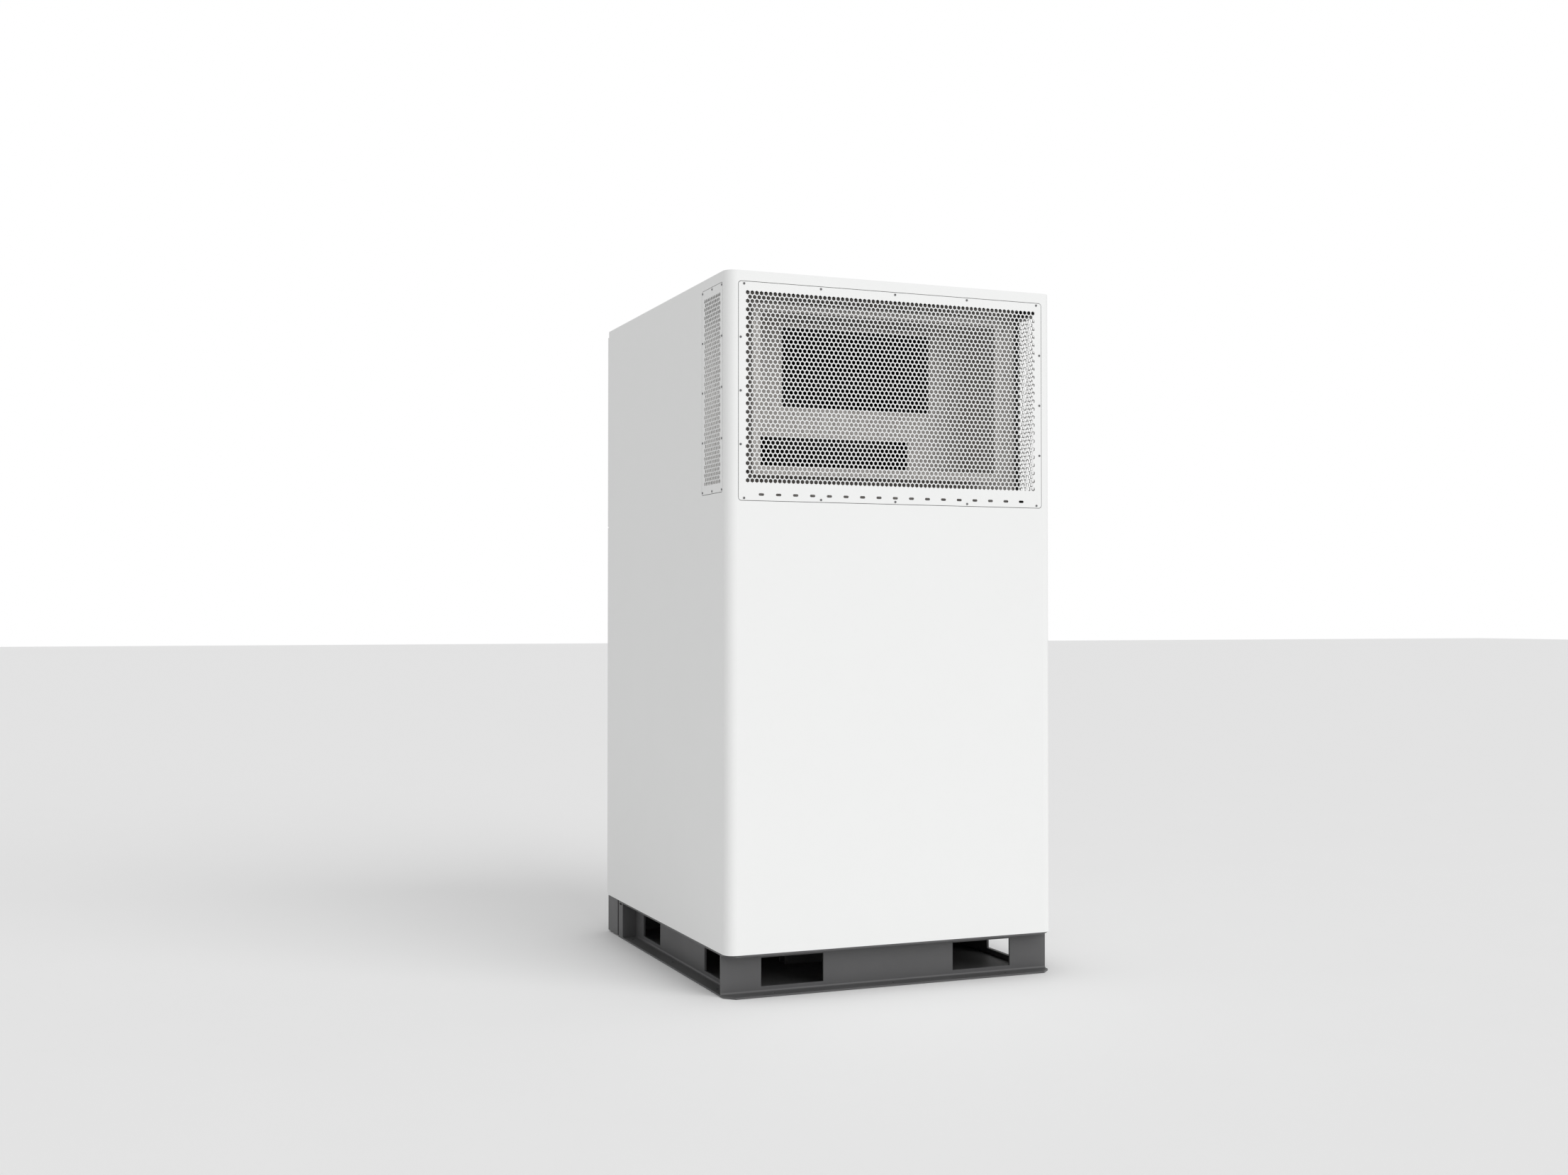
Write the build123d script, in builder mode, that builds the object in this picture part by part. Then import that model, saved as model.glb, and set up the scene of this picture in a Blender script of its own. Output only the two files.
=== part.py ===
"""Free-standing pool heat pump: a white sheet-metal cabinet on a dark steel base with fork pockets.

Frame: origin at the centre of the overall footprint, on the ground. +Z up, the grille faces -Y,
the two service doors are at +Y. All sizes are millimetres.
"""
import os
from math import asin, ceil, degrees, floor, sqrt

from build123d import *

os.makedirs("parts", exist_ok=True)

# ------------------------------------------------------------------ overall sizes
casing_width = 1000.0
casing_depth = 1123.0
overall_height = 1957.0
base_height = 116.5
corner_radius = 30.0
sheet = 2.0
door_depth = 20.0
knob_reach = 38.0
overcut = 1.0
weld_lap = 1.0

# ------------------------------------------------------------------ base
rail_recess = 44.0
rail_plate = 6.0
flange_plate = 5.0
bend_radius = 6.0
flange_chamfer = 28.0
fork_width = 184.0
fork_bottom = 20.0
fork_height = 78.0
fork_spread = 583.0
side_fork_width = 170.0
side_fork_spread = 576.0
anchor_radius = 4.5
anchor_inset = 22.0
front_anchor_pitch = 355.0
side_anchor_pitch = 395.0
side_anchor_start = 520.0
side_rail_end = 165.0
rear_rail_start = 110.0
rear_rail_gap = 4.0
rear_plate_lift = 4.0
rear_plate_drop = 1.0
tab_length = 37.0
tab_bolt_radius = 7.0
tab_bolt_height = 5.0
tab_bolt_rise = 18.0
tab_slot_start = 12.0
tab_slot_end = 10.0
tab_slot_top = 6.0
tab_slot_height = 6.0
stiffener_length = 360.0
stiffener_width = 50.0
stiffener_spread = 210.0
pan_lift = 1.0

# ------------------------------------------------------------------ grilles
panel_side_gap = 4.25
panel_height = 590.5
panel_top_drop = 29.9
panel_corner = 8.0
panel_gap = 1.5
side_panel_width = 168.0
side_panel_gap = 2.5
side_panel_height = 566.5
hex_pitch = 40.0
hex_flats = 32.0
hex_side_margin = 21.0
hex_top_margin = 24.0
hex_bottom_margin = 48.0
side_hex_bottom_margin = 24.0
slot_pitch = 50.0
slot_length = 16.0
slot_height = 7.0
slot_rise = 16.4
slot_side_margin = 60.0
screw_radius = 2.0
screw_head_radius = 3.2
screw_head_height = 1.6
screw_length = 9.0
screw_hole_gap = 0.2
screw_side_inset = 5.75
screw_row_inset = 5.9
screw_corner_inset = 15.75
side_screw_inset = 6.5
seat_lap = 14.0
seat_reach = 2.0
seat_rise = 10.0
cover_skirt = 15.0
front_screw_columns = 5
side_screw_columns = 3
side_screws_between = 3

# ------------------------------------------------------------------ upper compartment
deck_drop = 6.6
deck_hole_radius = 16.0
deck_notch = 60.0
plenum_floor_inset = 50.0
plenum_lip = 20.0
plenum_lap = 0.5
collar_start = 94.0
fan_wall_start = 284.0
collar_margin = 134.0
collar_flange = 24.0
collar_bottom_rise = 105.7
collar_top_drop = 71.5
outlet_width = 473.0
outlet_height = 230.0
outlet_drop = 80.0
blower_offset = 10.0
blower_back = 262.0
wheel_radius = 160.0
wheel_width = 424.0
blade_depth = 22.0
blade_count = 36
blade_plate = 1.6
inlet_lap = 10.0
scroll_gap = 25.0
volute_step = 22.0
blade_angle = 24.0
blade_rim_gap = 1.0
wheel_ring = 5.0
wheel_disc = 4.0
hub_radius = 32.0
hub_length = 46.0
motor_radius = 82.0
motor_length = 170.0
motor_gap = 14.0
motor_edge = 8.0
motor_bore_start = 18.0
shaft_start = 20.0
shaft_end = 60.0
shaft_chamfer = 1.0
shaft_radius = 9.5
running_gap = 0.05
band_inset = 30.0
band_width = 30.0
band_plate = 4.0
bar_width = 12.0
bar_plate = 8.0
cradle_gap = 14.0
lug_lap = 16.0
foot_inset = 30.0
foot_width = 36.0
foot_front = 150.0
foot_back = 170.0
foot_plate = 3.0
foot_web_front = 30.0
foot_web_back = 52.0
slot_opening_width = 496.0
slot_opening_height = 82.0
slot_opening_rise = 127.0
slot_opening_offset = -72.0

# ------------------------------------------------------------------ coil, pan and filter
coil_depth = 100.0
coil_back = 118.0
coil_top_gap = 60.0
coil_rise = 48.0
coil_margin = 106.0
coil_rows = 10
bend_tube_radius = 5.0
end_plate_flange = 18.0
shroud_side_gap = 4.0
shroud_top_gap = 1.0
shroud_lap = 6.0
gas_header_start = 68.0
gas_header_inset = 10.0
gas_stub = 40.0
gas_header_radius = 13.0
liquid_header_radius = 7.0
liquid_header_inset = 45.0
liquid_header_drop = 20.0
liquid_start = 70.0
expansion_radius = 15.0
expansion_height = 42.0
expansion_lap = 2.0
expansion_reach = 26.0
expansion_cap_radius = 9.0
expansion_cap_rise = 22.0
header_reach = 34.0
pan_height = 30.0
pan_rise = 14.0
pan_lap = 22.0
pan_side_gap = 45.0
pan_foot_start = 20.0
pan_foot_end = 60.0
pan_spout_radius = 12.0
pan_spout_bore = 8.0
pan_spout_low = 6.0
pan_spout_cut = 5.0
drain_inset = 75.0
drain_start = 10.0
filter_depth = 25.0
filter_gap = 20.0
filter_low_lap = 20.0
filter_top_lap = 6.0
filter_rim = 14.0
filter_rail = 8.0
pleat_pitch = 26.0
pleat_front = 3.0
pleat_back = 18.0
pleat_thickness = 2.0
spigot_radius = 10.0

# ------------------------------------------------------------------ lower compartment
compressor_radius = 95.0
compressor_height = 400.0
compressor_x = -170.0
compressor_dome = 40.0
compressor_plate = 220.0
compressor_plate_thickness = 6.0
bolt_spread = 95.0
compressor_bolt_hole = 6.0
bolt_hole_cut = 40.0
weld_low = 90.0
weld_high_drop = 80.0
weld_height = 10.0
weld_bead = 2.5
discharge_offset = 40.0
port_length = 20.0
port_wall = 2.0
suction_rise = 240.0
suction_reach = 22.0
terminal_reach = 24.0
terminal_sunk = 20.0
terminal_width = 70.0
terminal_low = 200.0
terminal_high = 280.0
machine_depth_place = 780.0
grommet_radius = 14.0
grommet_height = 20.0
grommet_cap_radius = 11.0
grommet_cap_top = 8.0
grommet_neck = 5.5
exchanger_radius = 110.0
exchanger_height = 620.0
exchanger_wall_gap = 122.0
exchanger_cap = 18.0
exchanger_cap_lap = 8.0
exchanger_stand = 30.0
stand_inset = 10.0
stand_plate = 6.0
stand_foot = 10.0
stand_foot_plate = 3.0
socket_wall = 3.4
exchanger_port = 16.0
exchanger_port_sunk = 2.0
exchanger_port_wall = 3.0
liquid_port_rise = 50.0
liquid_port_reach = 20.0
vessel_depth_place = 930.0
vessel_stand = 30.0
vessel_stand_lap = 12.0
vessel_stand_inset = 18.0
vessel_foot = 6.0
vessel_foot_plate = 4.0
vessel_port = 16.0
vessel_port_sunk = 10.0
port_gap = 20.0
receiver_dome = 24.0
receiver_radius = 57.0
receiver_height = 330.0
receiver_x = -340.0
accumulator_radius = 62.0
accumulator_height = 440.0
accumulator_x = 18.0
accumulator_dome = 26.0
accumulator_port_gap = 22.0
drier_radius = 26.0
drier_height = 140.0
drier_rise = 70.0
drier_dome = 12.0
drier_port_lap = 6.0
drier_port_reach = 14.0
liquid_port_wall = 2.5
valve_radius = 17.0
valve_length = 130.0
valve_x = 40.0
valve_rise = 780.0
valve_edge = 4.0
valve_port = 40.0
valve_port_pitch = 38.0
gas_tube = 9.0
discharge_tube = 6.5
liquid_tube = 6.0
gas_bend = 22.0
accumulator_bend = 24.0
liquid_bend = 18.0
discharge_crown = 95.0
exchanger_drop = 36.0
accumulator_crown = 90.0
suction_crown = 52.0
gas_drop = 45.0
gas_riser_offset = 90.0
liquid_back_place = 1030.0
receiver_crown = 50.0
deck_cross_drop = 60.0
recess_depth = 45.0
recess_width = 300.0
recess_height = 340.0
recess_rise = 60.0
union_radius = 36.0
union_bore = 25.1
union_socket = 31.0
union_low = 70.0
union_pitch = 190.0
union_ribs = 12
union_rib_radius = 3.5
union_nut = 30.0
union_length = 42.0
union_wall = 4.0
union_stop_radius = 21.0
union_stop = 20.0
recess_rim = 15.0
recess_cut = 5.0
gland_radius = 12.0
gland_bore = 7.0
gland_nut = 6.0
gland_length = 24.0
gland_neck = 2.0
gland_thread = 3.0
gland_tail = 8.0
gland_count = 3
gland_offset = 100.0
gland_rise = 90.0
gland_pitch = 60.0
drain_out_offset = 100.0
drain_out_rise = 50.0
drain_out_reach = 30.0
drain_fall = 150.0
drain_bend = 22.0
drain_nut = 4.0
drain_nut_lap = 5.0
box_width = 430.0
box_height = 480.0
box_depth = 120.0
box_deck_gap = 86.5
box_x = -225.0
box_back_gap = 43.0
box_bracket_inset = 40.0
cover_screw_radius = 5.0
cover_screw_inset = 20.0
window_width = 160.0
window_depth = 6.0
window_height = 60.0
window_drop = 60.0
gear_rail_half = 180.0
gear_rail = 8.0
gear_rail_height = 34.0
gear_rail_low = 120.0
gear_rail_high = 300.0
gear_start = 150.0
breaker_count = 4
breaker_pitch = 50.0
breaker_width = 45.0
breaker_depth = 82.0
breaker_low = 255.0
breaker_high = 340.0
terminal_count = 14
terminal_pitch = 12.0
terminal_block = 10.0
terminal_depth = 44.0
terminal_row_low = 95.0
terminal_row_high = 145.0
supply_low_x = 70.0
supply_high_x = 170.0
supply_depth = 62.0
supply_low = 240.0
supply_high = 360.0

# ------------------------------------------------------------------ doors
door_bottom_rise = 5.2
door_top_drop = 17.4
door_gap = 3.5
door_split_rise = -15.6
door_edge_inset = 3.0
door_seat_gap = 0.5
frame_lip = 45.0
frame_return = 38.0
frame_beam_drop = 33.0
frame_beam_rise = 10.0
frame_top_lip = 22.5
post_width = 31.0
hinge_gap = 8.0
hinge_pin_radius = 3.0
knuckle_radius = 6.0
leaf_plate = 2.0
leaf_width = 28.0
leaf_length = 90.0
leaf_clearance = 1.0
hinge_inset = 130.0
knuckle_gap = 0.5
intake_margin = 75.0
intake_lap = 12.0
intake_side_inset = 20.0
intake_edge = 6.0
intake_plate = 1.5
latch_inset = 60.0
latch_end_inset = 110.0
latch_radius = 9.0
latch_collar = 14.0
cam_reach = 34.0
cam_plate = 3.0
cam_gap = 1.0
cam_side = 1.0
latch_hole_gap = 0.3
collar_gap = 0.3
collar_plate = 4.0
grip_width = 8.0
grip_reach = 3.0
grip_height = 11.0
isolator_x = -200.0
isolator_drop = 160.0
isolator_plate = 64.0
isolator_knob_radius = 22.0
isolator_shaft = 5.0
isolator_plate_corner = 6.0
isolator_plate_height = 7.0
switch_half = 24.0
switch_half_height = 30.0
switch_depth = 52.0
switch_bore = 30.0
knob_gap = 0.3
knob_base = 10.0
knob_grip = 14.0
knob_grip_inset = 1.0
knob_shaft = 24.0

# ------------------------------------------------------------------ derived places
overall_depth = screw_head_height + casing_depth + door_depth + knob_reach
front = -overall_depth / 2 + screw_head_height
half_width = casing_width / 2
inner_half = half_width - sheet
rear = front + casing_depth
door_face = rear + door_depth
floor_top = base_height + sheet
panel_top = overall_height - panel_top_drop
panel_bottom = panel_top - panel_height
panel_margin = corner_radius + panel_side_gap
panel_width = casing_width - 2 * panel_margin
side_panel_start = corner_radius + side_panel_gap
deck_bottom = panel_bottom - deck_drop
deck_top = deck_bottom + sheet
cover_low = overall_height - sheet - cover_skirt
inlet_radius = wheel_radius - inlet_lap
cutoff_radius = wheel_radius + scroll_gap
cradle_radius = wheel_radius - blade_depth - cradle_gap
rail_inner = half_width - rail_recess - rail_plate
fan_wall = front + fan_wall_start
coil_front = rear - coil_back - coil_depth
coil_half = half_width - coil_margin
machine_y = front + machine_depth_place
vessel_y = front + vessel_depth_place
exchanger_x = inner_half - exchanger_wall_gap - exchanger_radius
door_split = deck_bottom + door_split_rise + door_gap / 2
hinge_x = half_width - door_edge_inset - post_width - hinge_gap / 2
hinge_y = door_face + knuckle_radius
contact = 0.5
header_x = -coil_half - sheet - header_reach
gas_header_y = coil_front + gas_header_start
gas_riser_y = machine_y - gas_riser_offset
liquid_header_x = -half_width + liquid_header_inset
drain_x = half_width - drain_inset
drain_y = coil_front + drain_start


def front_plane(y):
    """Plane facing the front: its x is X, its y is Z, and it extrudes towards -Y."""
    return Plane(origin=(0, y, 0), x_dir=(1, 0, 0), z_dir=(0, -1, 0))


def side_plane(x):
    """Plane facing +X: its x is Y, its y is Z."""
    return Plane(origin=(x, 0, 0), x_dir=(0, 1, 0), z_dir=(1, 0, 0))


def block(x_span, y_span, z_span, mode=Mode.ADD):
    """A box between two values on each axis, in the active part."""
    middle = [(low + high) / 2 for low, high in (x_span, y_span, z_span)]
    lengths = [abs(high - low) for low, high in (x_span, y_span, z_span)]
    with Locations(tuple(middle)):
        Box(*lengths, mode=mode)


def rod(start, end, radius, mode=Mode.ADD):
    """A round bar from one point to another along an axis, in the active part."""
    span = Vector(*end) - Vector(*start)
    with BuildSketch(Plane(origin=start, z_dir=span.normalized())) as disc:
        Circle(radius)
    extrude(disc.sketch, amount=span.length, mode=mode)


def pipe(points, radius, bend):
    """A tube's outside: straight runs joined by tangent arcs."""
    with BuildPart() as run:
        with BuildLine() as path:
            FilletPolyline(*points, radius=bend)
        with BuildSketch(Plane(origin=path.line @ 0, z_dir=path.line % 0)):
            Circle(radius)
        sweep(path=path.line)
    return run.part


def hex_field(low, high):
    """Centres of a staggered field of hexagons that fills the box from low to high."""
    row_step = hex_pitch * sqrt(3) / 2
    tall = hex_flats / sqrt(3)
    rows = floor((high[1] - low[1] - 2 * tall) / row_step) + 1
    columns = floor((high[0] - low[0] - hex_flats) / hex_pitch) + 1
    middle_x = (low[0] + high[0]) / 2
    middle_z = (low[1] + high[1]) / 2
    centres = []
    for row in range(rows):
        count = columns - row % 2
        z = middle_z + (row - (rows - 1) / 2) * row_step
        for column in range(count):
            centres.append((middle_x + (column - (count - 1) / 2) * hex_pitch, z))
    return centres


def save(piece, label):
    piece.label = label
    export_step(piece, f"parts/{label}.step")


# ================================================================== base
def flange_corners(depth_of_rail):
    """Cuts the plan corners of the front rail's flanges."""
    for side in (-1, 1):
        with BuildSketch(Plane.XY) as corner:
            with BuildLine():
                Polyline(
                    (side * half_width, front),
                    (side * (half_width - flange_chamfer), front),
                    (side * half_width, front + flange_chamfer),
                    close=True,
                )
            make_face()
        extrude(corner.sketch, amount=depth_of_rail, mode=Mode.SUBTRACT)


# Front rail: a channel that opens forwards, its web set back under the casing.
with BuildPart() as rail_front:
    with BuildSketch(side_plane(-half_width)):
        with BuildLine():
            Polyline(
                (front, 0),
                (front + rail_recess + rail_plate, 0),
                (front + rail_recess + rail_plate, base_height),
                (front, base_height),
                (front, base_height - flange_plate),
                (front + rail_recess, base_height - flange_plate),
                (front + rail_recess, flange_plate),
                (front, flange_plate),
                close=True,
            )
        make_face()
    extrude(amount=casing_width)
    inner_bends = (
        rail_front.edges()
        .filter_by(Axis.X)
        .filter_by_position(Axis.Y, front + rail_recess - 0.1, front + rail_recess + 0.1)
    )
    fillet(inner_bends, bend_radius)
    flange_corners(base_height)
    for side in (-1, 1):
        block(
            (side * fork_spread / 2 - fork_width / 2, side * fork_spread / 2 + fork_width / 2),
            (front, front + rail_recess + rail_plate),
            (fork_bottom, fork_bottom + fork_height),
            Mode.SUBTRACT,
        )
    with Locations(*[(i * front_anchor_pitch, front + anchor_inset, 0) for i in (-1, 0, 1)]):
        Cylinder(anchor_radius, 4 * flange_plate, mode=Mode.SUBTRACT)
save(rail_front.part, "base_rail_front")

# Side rail: the same channel turned outwards, closed at the back by a folded end with a tab.
side_rail_low = front + rail_recess + rail_plate
side_rail_high = rear - side_rail_end
side_rail_middle = (side_rail_low + side_rail_high) / 2
side_anchor_middle = front + side_anchor_start

with BuildPart() as rail_left:
    web_x = -half_width + rail_recess
    with BuildSketch(Plane.XZ.offset(-side_rail_low)):
        with BuildLine():
            Polyline(
                (-half_width, 0),
                (web_x + rail_plate, 0),
                (web_x + rail_plate, base_height),
                (-half_width, base_height),
                (-half_width, base_height - flange_plate),
                (web_x, base_height - flange_plate),
                (web_x, flange_plate),
                (-half_width, flange_plate),
                close=True,
            )
        make_face()
    extrude(amount=-(side_rail_high - side_rail_low))
    side_bends = (
        rail_left.edges().filter_by(Axis.Y).filter_by_position(Axis.X, web_x - 0.1, web_x + 0.1)
    )
    fillet(side_bends, bend_radius)
    block(
        (-half_width, web_x + rail_plate),
        (side_rail_high, side_rail_high + rail_plate),
        (0, base_height),
    )
    tab_end = side_rail_high + rail_plate + tab_length
    block((-half_width, -half_width + rail_plate), (side_rail_high, tab_end), (0, base_height))
    block(
        (-half_width, web_x + rail_plate),
        (side_rail_high, tab_end + flange_plate),
        (0, flange_plate),
    )
    for side in (-1, 1):
        pocket = side_rail_middle + side * side_fork_spread / 2
        block(
            (web_x, web_x + rail_plate),
            (pocket - side_fork_width / 2, pocket + side_fork_width / 2),
            (fork_bottom, fork_bottom + fork_height),
            Mode.SUBTRACT,
        )
    with Locations(
        *[(-half_width + anchor_inset, side_anchor_middle + i * side_anchor_pitch, 0) for i in (-1, 0, 1)]
    ):
        Cylinder(anchor_radius, 4 * flange_plate, mode=Mode.SUBTRACT)
    # slotted hole near the tab's top
    block(
        (-half_width, -half_width + rail_plate),
        (side_rail_high + tab_slot_start, tab_end - tab_slot_end),
        (base_height - tab_slot_top - tab_slot_height, base_height - tab_slot_top),
        Mode.SUBTRACT,
    )
save(rail_left.part, "base_rail_left")

with BuildPart() as rail_right:
    mirror(rail_left.part, about=Plane.YZ)
save(rail_right.part, "base_rail_right")

# Rear rail: a closed-ended channel with a plain web, between the side rails' tabs and the back edge.
rear_rail_low = rear - rear_rail_start
rear_rail_high = rear - rear_rail_gap
rear_web = rear_rail_high - rail_recess - rail_plate
with BuildPart() as rail_rear:
    block(
        (-half_width + rail_plate, half_width - rail_plate),
        (rear_rail_low, rear_rail_high),
        (base_height - flange_plate, base_height),
    )
    block(
        (-half_width + rail_plate, half_width - rail_plate),
        (rear_rail_low, rear_rail_high),
        (0, flange_plate),
    )
    block(
        (-half_width + rail_plate, half_width - rail_plate),
        (rear_web, rear_web + rail_plate),
        (0, base_height),
    )
    for side in (-1, 1):
        block(
            (side * half_width, side * (half_width - rail_plate)),
            (rear_rail_low, rear_rail_high),
            (rear_plate_lift, base_height - rear_plate_drop),
        )
save(rail_rear.part, "base_rail_rear")

# Base pan: a plate under the fork paths, with two short box sections that carry the floor between them.
with BuildPart() as base_pan:
    block((-rail_inner, rail_inner), (side_rail_low, rear_rail_low), (pan_lift, flange_plate))
    for side in (-1, 1):
        middle = side_rail_middle + side * stiffener_spread / 2
        spans = ((-stiffener_length / 2, stiffener_length / 2), (flange_plate, base_height))
        block(spans[0], (middle - stiffener_width / 2, middle + stiffener_width / 2), spans[1])
        block(
            spans[0],
            (middle - stiffener_width / 2 + rail_plate, middle + stiffener_width / 2 - rail_plate),
            (flange_plate, base_height - flange_plate),
            Mode.SUBTRACT,
        )
save(base_pan.part, "base_pan")

# Hexagon bolts through the two tabs.
with BuildPart() as tab_bolts:
    for side in (-1, 1):
        tab_middle = side_rail_high + rail_plate + tab_length / 2
        inner = side * (half_width - rail_plate)
        with BuildSketch(Plane(origin=(inner, tab_middle, tab_bolt_rise), z_dir=(-side, 0, 0))):
            RegularPolygon(tab_bolt_radius, 6)
        extrude(amount=tab_bolt_height)
save(tab_bolts.part, "base_tab_bolts")

with BuildPart() as floor_plate:
    with BuildSketch(Plane.XY.offset(base_height)):
        with Locations((0, (front + rear) / 2)):
            Rectangle(2 * (inner_half - contact), casing_depth - 2 * sheet - 2 * contact)
    extrude(amount=sheet)
    front_edges = floor_plate.edges().filter_by(Axis.Z).group_by(Axis.Y)[0]
    fillet(front_edges, corner_radius - sheet)
save(floor_plate.part, "floor_plate")


# ================================================================== casing
def casing_profile(inset):
    """Plan outline of the casing, open at the back, pulled in by the inset."""
    with BuildSketch(Plane.XY.offset(base_height)) as outline:
        with Locations((0, (front + inset + rear) / 2)):
            Rectangle(2 * (half_width - inset), casing_depth - inset)
        corners = outline.vertices().group_by(Axis.Y)[0]
        fillet(corners, corner_radius - inset)
    return outline.sketch


recess_low = floor_top + recess_rise
recess_span = (machine_y - recess_width / 2, machine_y + recess_width / 2)
recess_z = (recess_low, recess_low + recess_height)

# One bent sheet: left side, front and right side, with no seam at the front corners.
with BuildPart() as casing_wrap:
    add(casing_profile(0))
    extrude(amount=overall_height - base_height)
    add(casing_profile(sheet))
    extrude(amount=overall_height - base_height, mode=Mode.SUBTRACT)
    with BuildSketch(front_plane(front)):
        with Locations((0, (panel_top + panel_bottom) / 2)):
            RectangleRounded(
                panel_width + 2 * panel_gap, panel_height + 2 * panel_gap, panel_corner + panel_gap
            )
    extrude(amount=-2 * sheet, mode=Mode.SUBTRACT)
    side_middle = front + side_panel_start + side_panel_width / 2
    with BuildSketch(side_plane(-half_width)):
        with Locations((side_middle, panel_top - side_panel_height / 2)):
            RectangleRounded(
                side_panel_width + 2 * panel_gap,
                side_panel_height + 2 * panel_gap,
                panel_corner + panel_gap,
            )
    extrude(amount=casing_width, mode=Mode.SUBTRACT)
    block((inner_half - sheet, half_width), recess_span, recess_z, Mode.SUBTRACT)
save(casing_wrap.part, "casing_wrap")

# Cover: lies inside the top of the wrap and is folded down all round.
with BuildPart() as top_cover:
    with BuildSketch(Plane.XY.offset(cover_low)):
        add(casing_profile(sheet + contact).moved(Location((0, 0, -base_height))))
    extrude(amount=cover_skirt + sheet)
    with BuildSketch(Plane.XY.offset(cover_low)):
        add(casing_profile(2 * sheet + contact).moved(Location((0, 0, -base_height))))
    extrude(amount=cover_skirt, mode=Mode.SUBTRACT)
save(top_cover.part, "top_cover")

# Portal frame that the two doors close against, with a lip round each opening.
lower_opening = (floor_top + frame_lip, deck_bottom - frame_beam_drop)
upper_opening = (deck_top + frame_beam_rise, cover_low - frame_top_lip)
with BuildPart() as rear_frame:
    block(
        (-inner_half + contact, inner_half - contact),
        (rear - sheet, rear),
        (floor_top, cover_low),
    )
    for z_span in (lower_opening, upper_opening):
        block(
            (-inner_half + frame_lip, inner_half - frame_lip),
            (rear - sheet, rear),
            z_span,
            Mode.SUBTRACT,
        )
    for side in (-1, 1):
        block(
            (side * (inner_half - contact), side * (inner_half - contact - sheet)),
            (rear - frame_return, rear - sheet),
            (floor_top, cover_low),
        )
save(rear_frame.part, "rear_frame")

with BuildPart() as mid_deck:
    block(
        (-inner_half + contact + sheet, inner_half - contact - sheet),
        (front + 2 * sheet + contact, rear - sheet),
        (deck_bottom, deck_top),
    )
    with Locations(
        (header_x, gas_riser_y, deck_bottom),
        (liquid_header_x, vessel_y, deck_bottom),
        (drain_x, drain_y, deck_bottom),
    ):
        Cylinder(deck_hole_radius, 4 * sheet, mode=Mode.SUBTRACT)
    for side in (-1, 1):
        block(
            (side * (inner_half - deck_notch), side * inner_half),
            (front, front + corner_radius),
            (deck_bottom, deck_top),
            Mode.SUBTRACT,
        )
save(mid_deck.part, "mid_deck")


# ================================================================== grilles
def screw_rows(width, height, columns, rows, side_inset, row_inset, corner_inset):
    """Centres of a panel's screws: full rows along top and bottom, and columns between them."""
    places = []
    for row in (-1, 1):
        for index in range(columns):
            x = (index / (columns - 1) - 0.5) * (width - 2 * corner_inset)
            places.append((x, row * (height / 2 - row_inset)))
    step = (height - 2 * row_inset) / (rows + 1)
    for side in (-1, 1):
        for index in range(rows):
            places.append((side * (width / 2 - side_inset), (index + 1) * step - height / 2 + row_inset))
    return places


front_screws = screw_rows(
    panel_width,
    panel_height,
    front_screw_columns,
    side_screws_between,
    screw_side_inset,
    screw_row_inset,
    screw_corner_inset,
)
side_screws = screw_rows(
    side_panel_width,
    side_panel_height,
    side_screw_columns,
    side_screws_between,
    side_screw_inset,
    screw_row_inset,
    side_screw_inset,
)
panel_middle = (panel_top + panel_bottom) / 2
side_panel_middle = panel_top - side_panel_height / 2

with BuildPart() as grille_front:
    with BuildSketch(front_plane(front)):
        with Locations((0, panel_middle)):
            RectangleRounded(panel_width, panel_height, panel_corner)
        field = hex_field(
            (-panel_width / 2 + hex_side_margin, panel_bottom + hex_bottom_margin),
            (panel_width / 2 - hex_side_margin, panel_top - hex_top_margin),
        )
        with Locations(*field):
            RegularPolygon(hex_flats / 2, 6, major_radius=False, rotation=30, mode=Mode.SUBTRACT)
        slot_count = 2 * floor((panel_width / 2 - slot_side_margin) / slot_pitch) + 1
        with Locations((0, panel_bottom + slot_rise)):
            with GridLocations(slot_pitch, 0, slot_count, 1):
                SlotOverall(slot_length, slot_height, mode=Mode.SUBTRACT)
        with Locations(*[(x, panel_middle + z) for x, z in front_screws]):
            Circle(screw_radius + screw_hole_gap, mode=Mode.SUBTRACT)
    extrude(amount=-sheet)
save(grille_front.part, "grille_front")

with BuildPart() as grille_left:
    with BuildSketch(side_plane(-half_width)):
        with Locations((side_middle, side_panel_middle)):
            RectangleRounded(side_panel_width, side_panel_height, panel_corner)
        field = hex_field(
            (side_middle - side_panel_width / 2 + hex_side_margin / 2,
             panel_top - side_panel_height + side_hex_bottom_margin),
            (side_middle + side_panel_width / 2 - hex_side_margin / 2, panel_top - hex_top_margin),
        )
        with Locations(*field):
            RegularPolygon(hex_flats / 2, 6, major_radius=False, rotation=30, mode=Mode.SUBTRACT)
        with Locations(*[(side_middle + y, side_panel_middle + z) for y, z in side_screws]):
            Circle(screw_radius + screw_hole_gap, mode=Mode.SUBTRACT)
    extrude(amount=sheet)
save(grille_left.part, "grille_left")

with BuildPart() as grille_right:
    mirror(grille_left.part, about=Plane.YZ)
save(grille_right.part, "grille_right")

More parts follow.
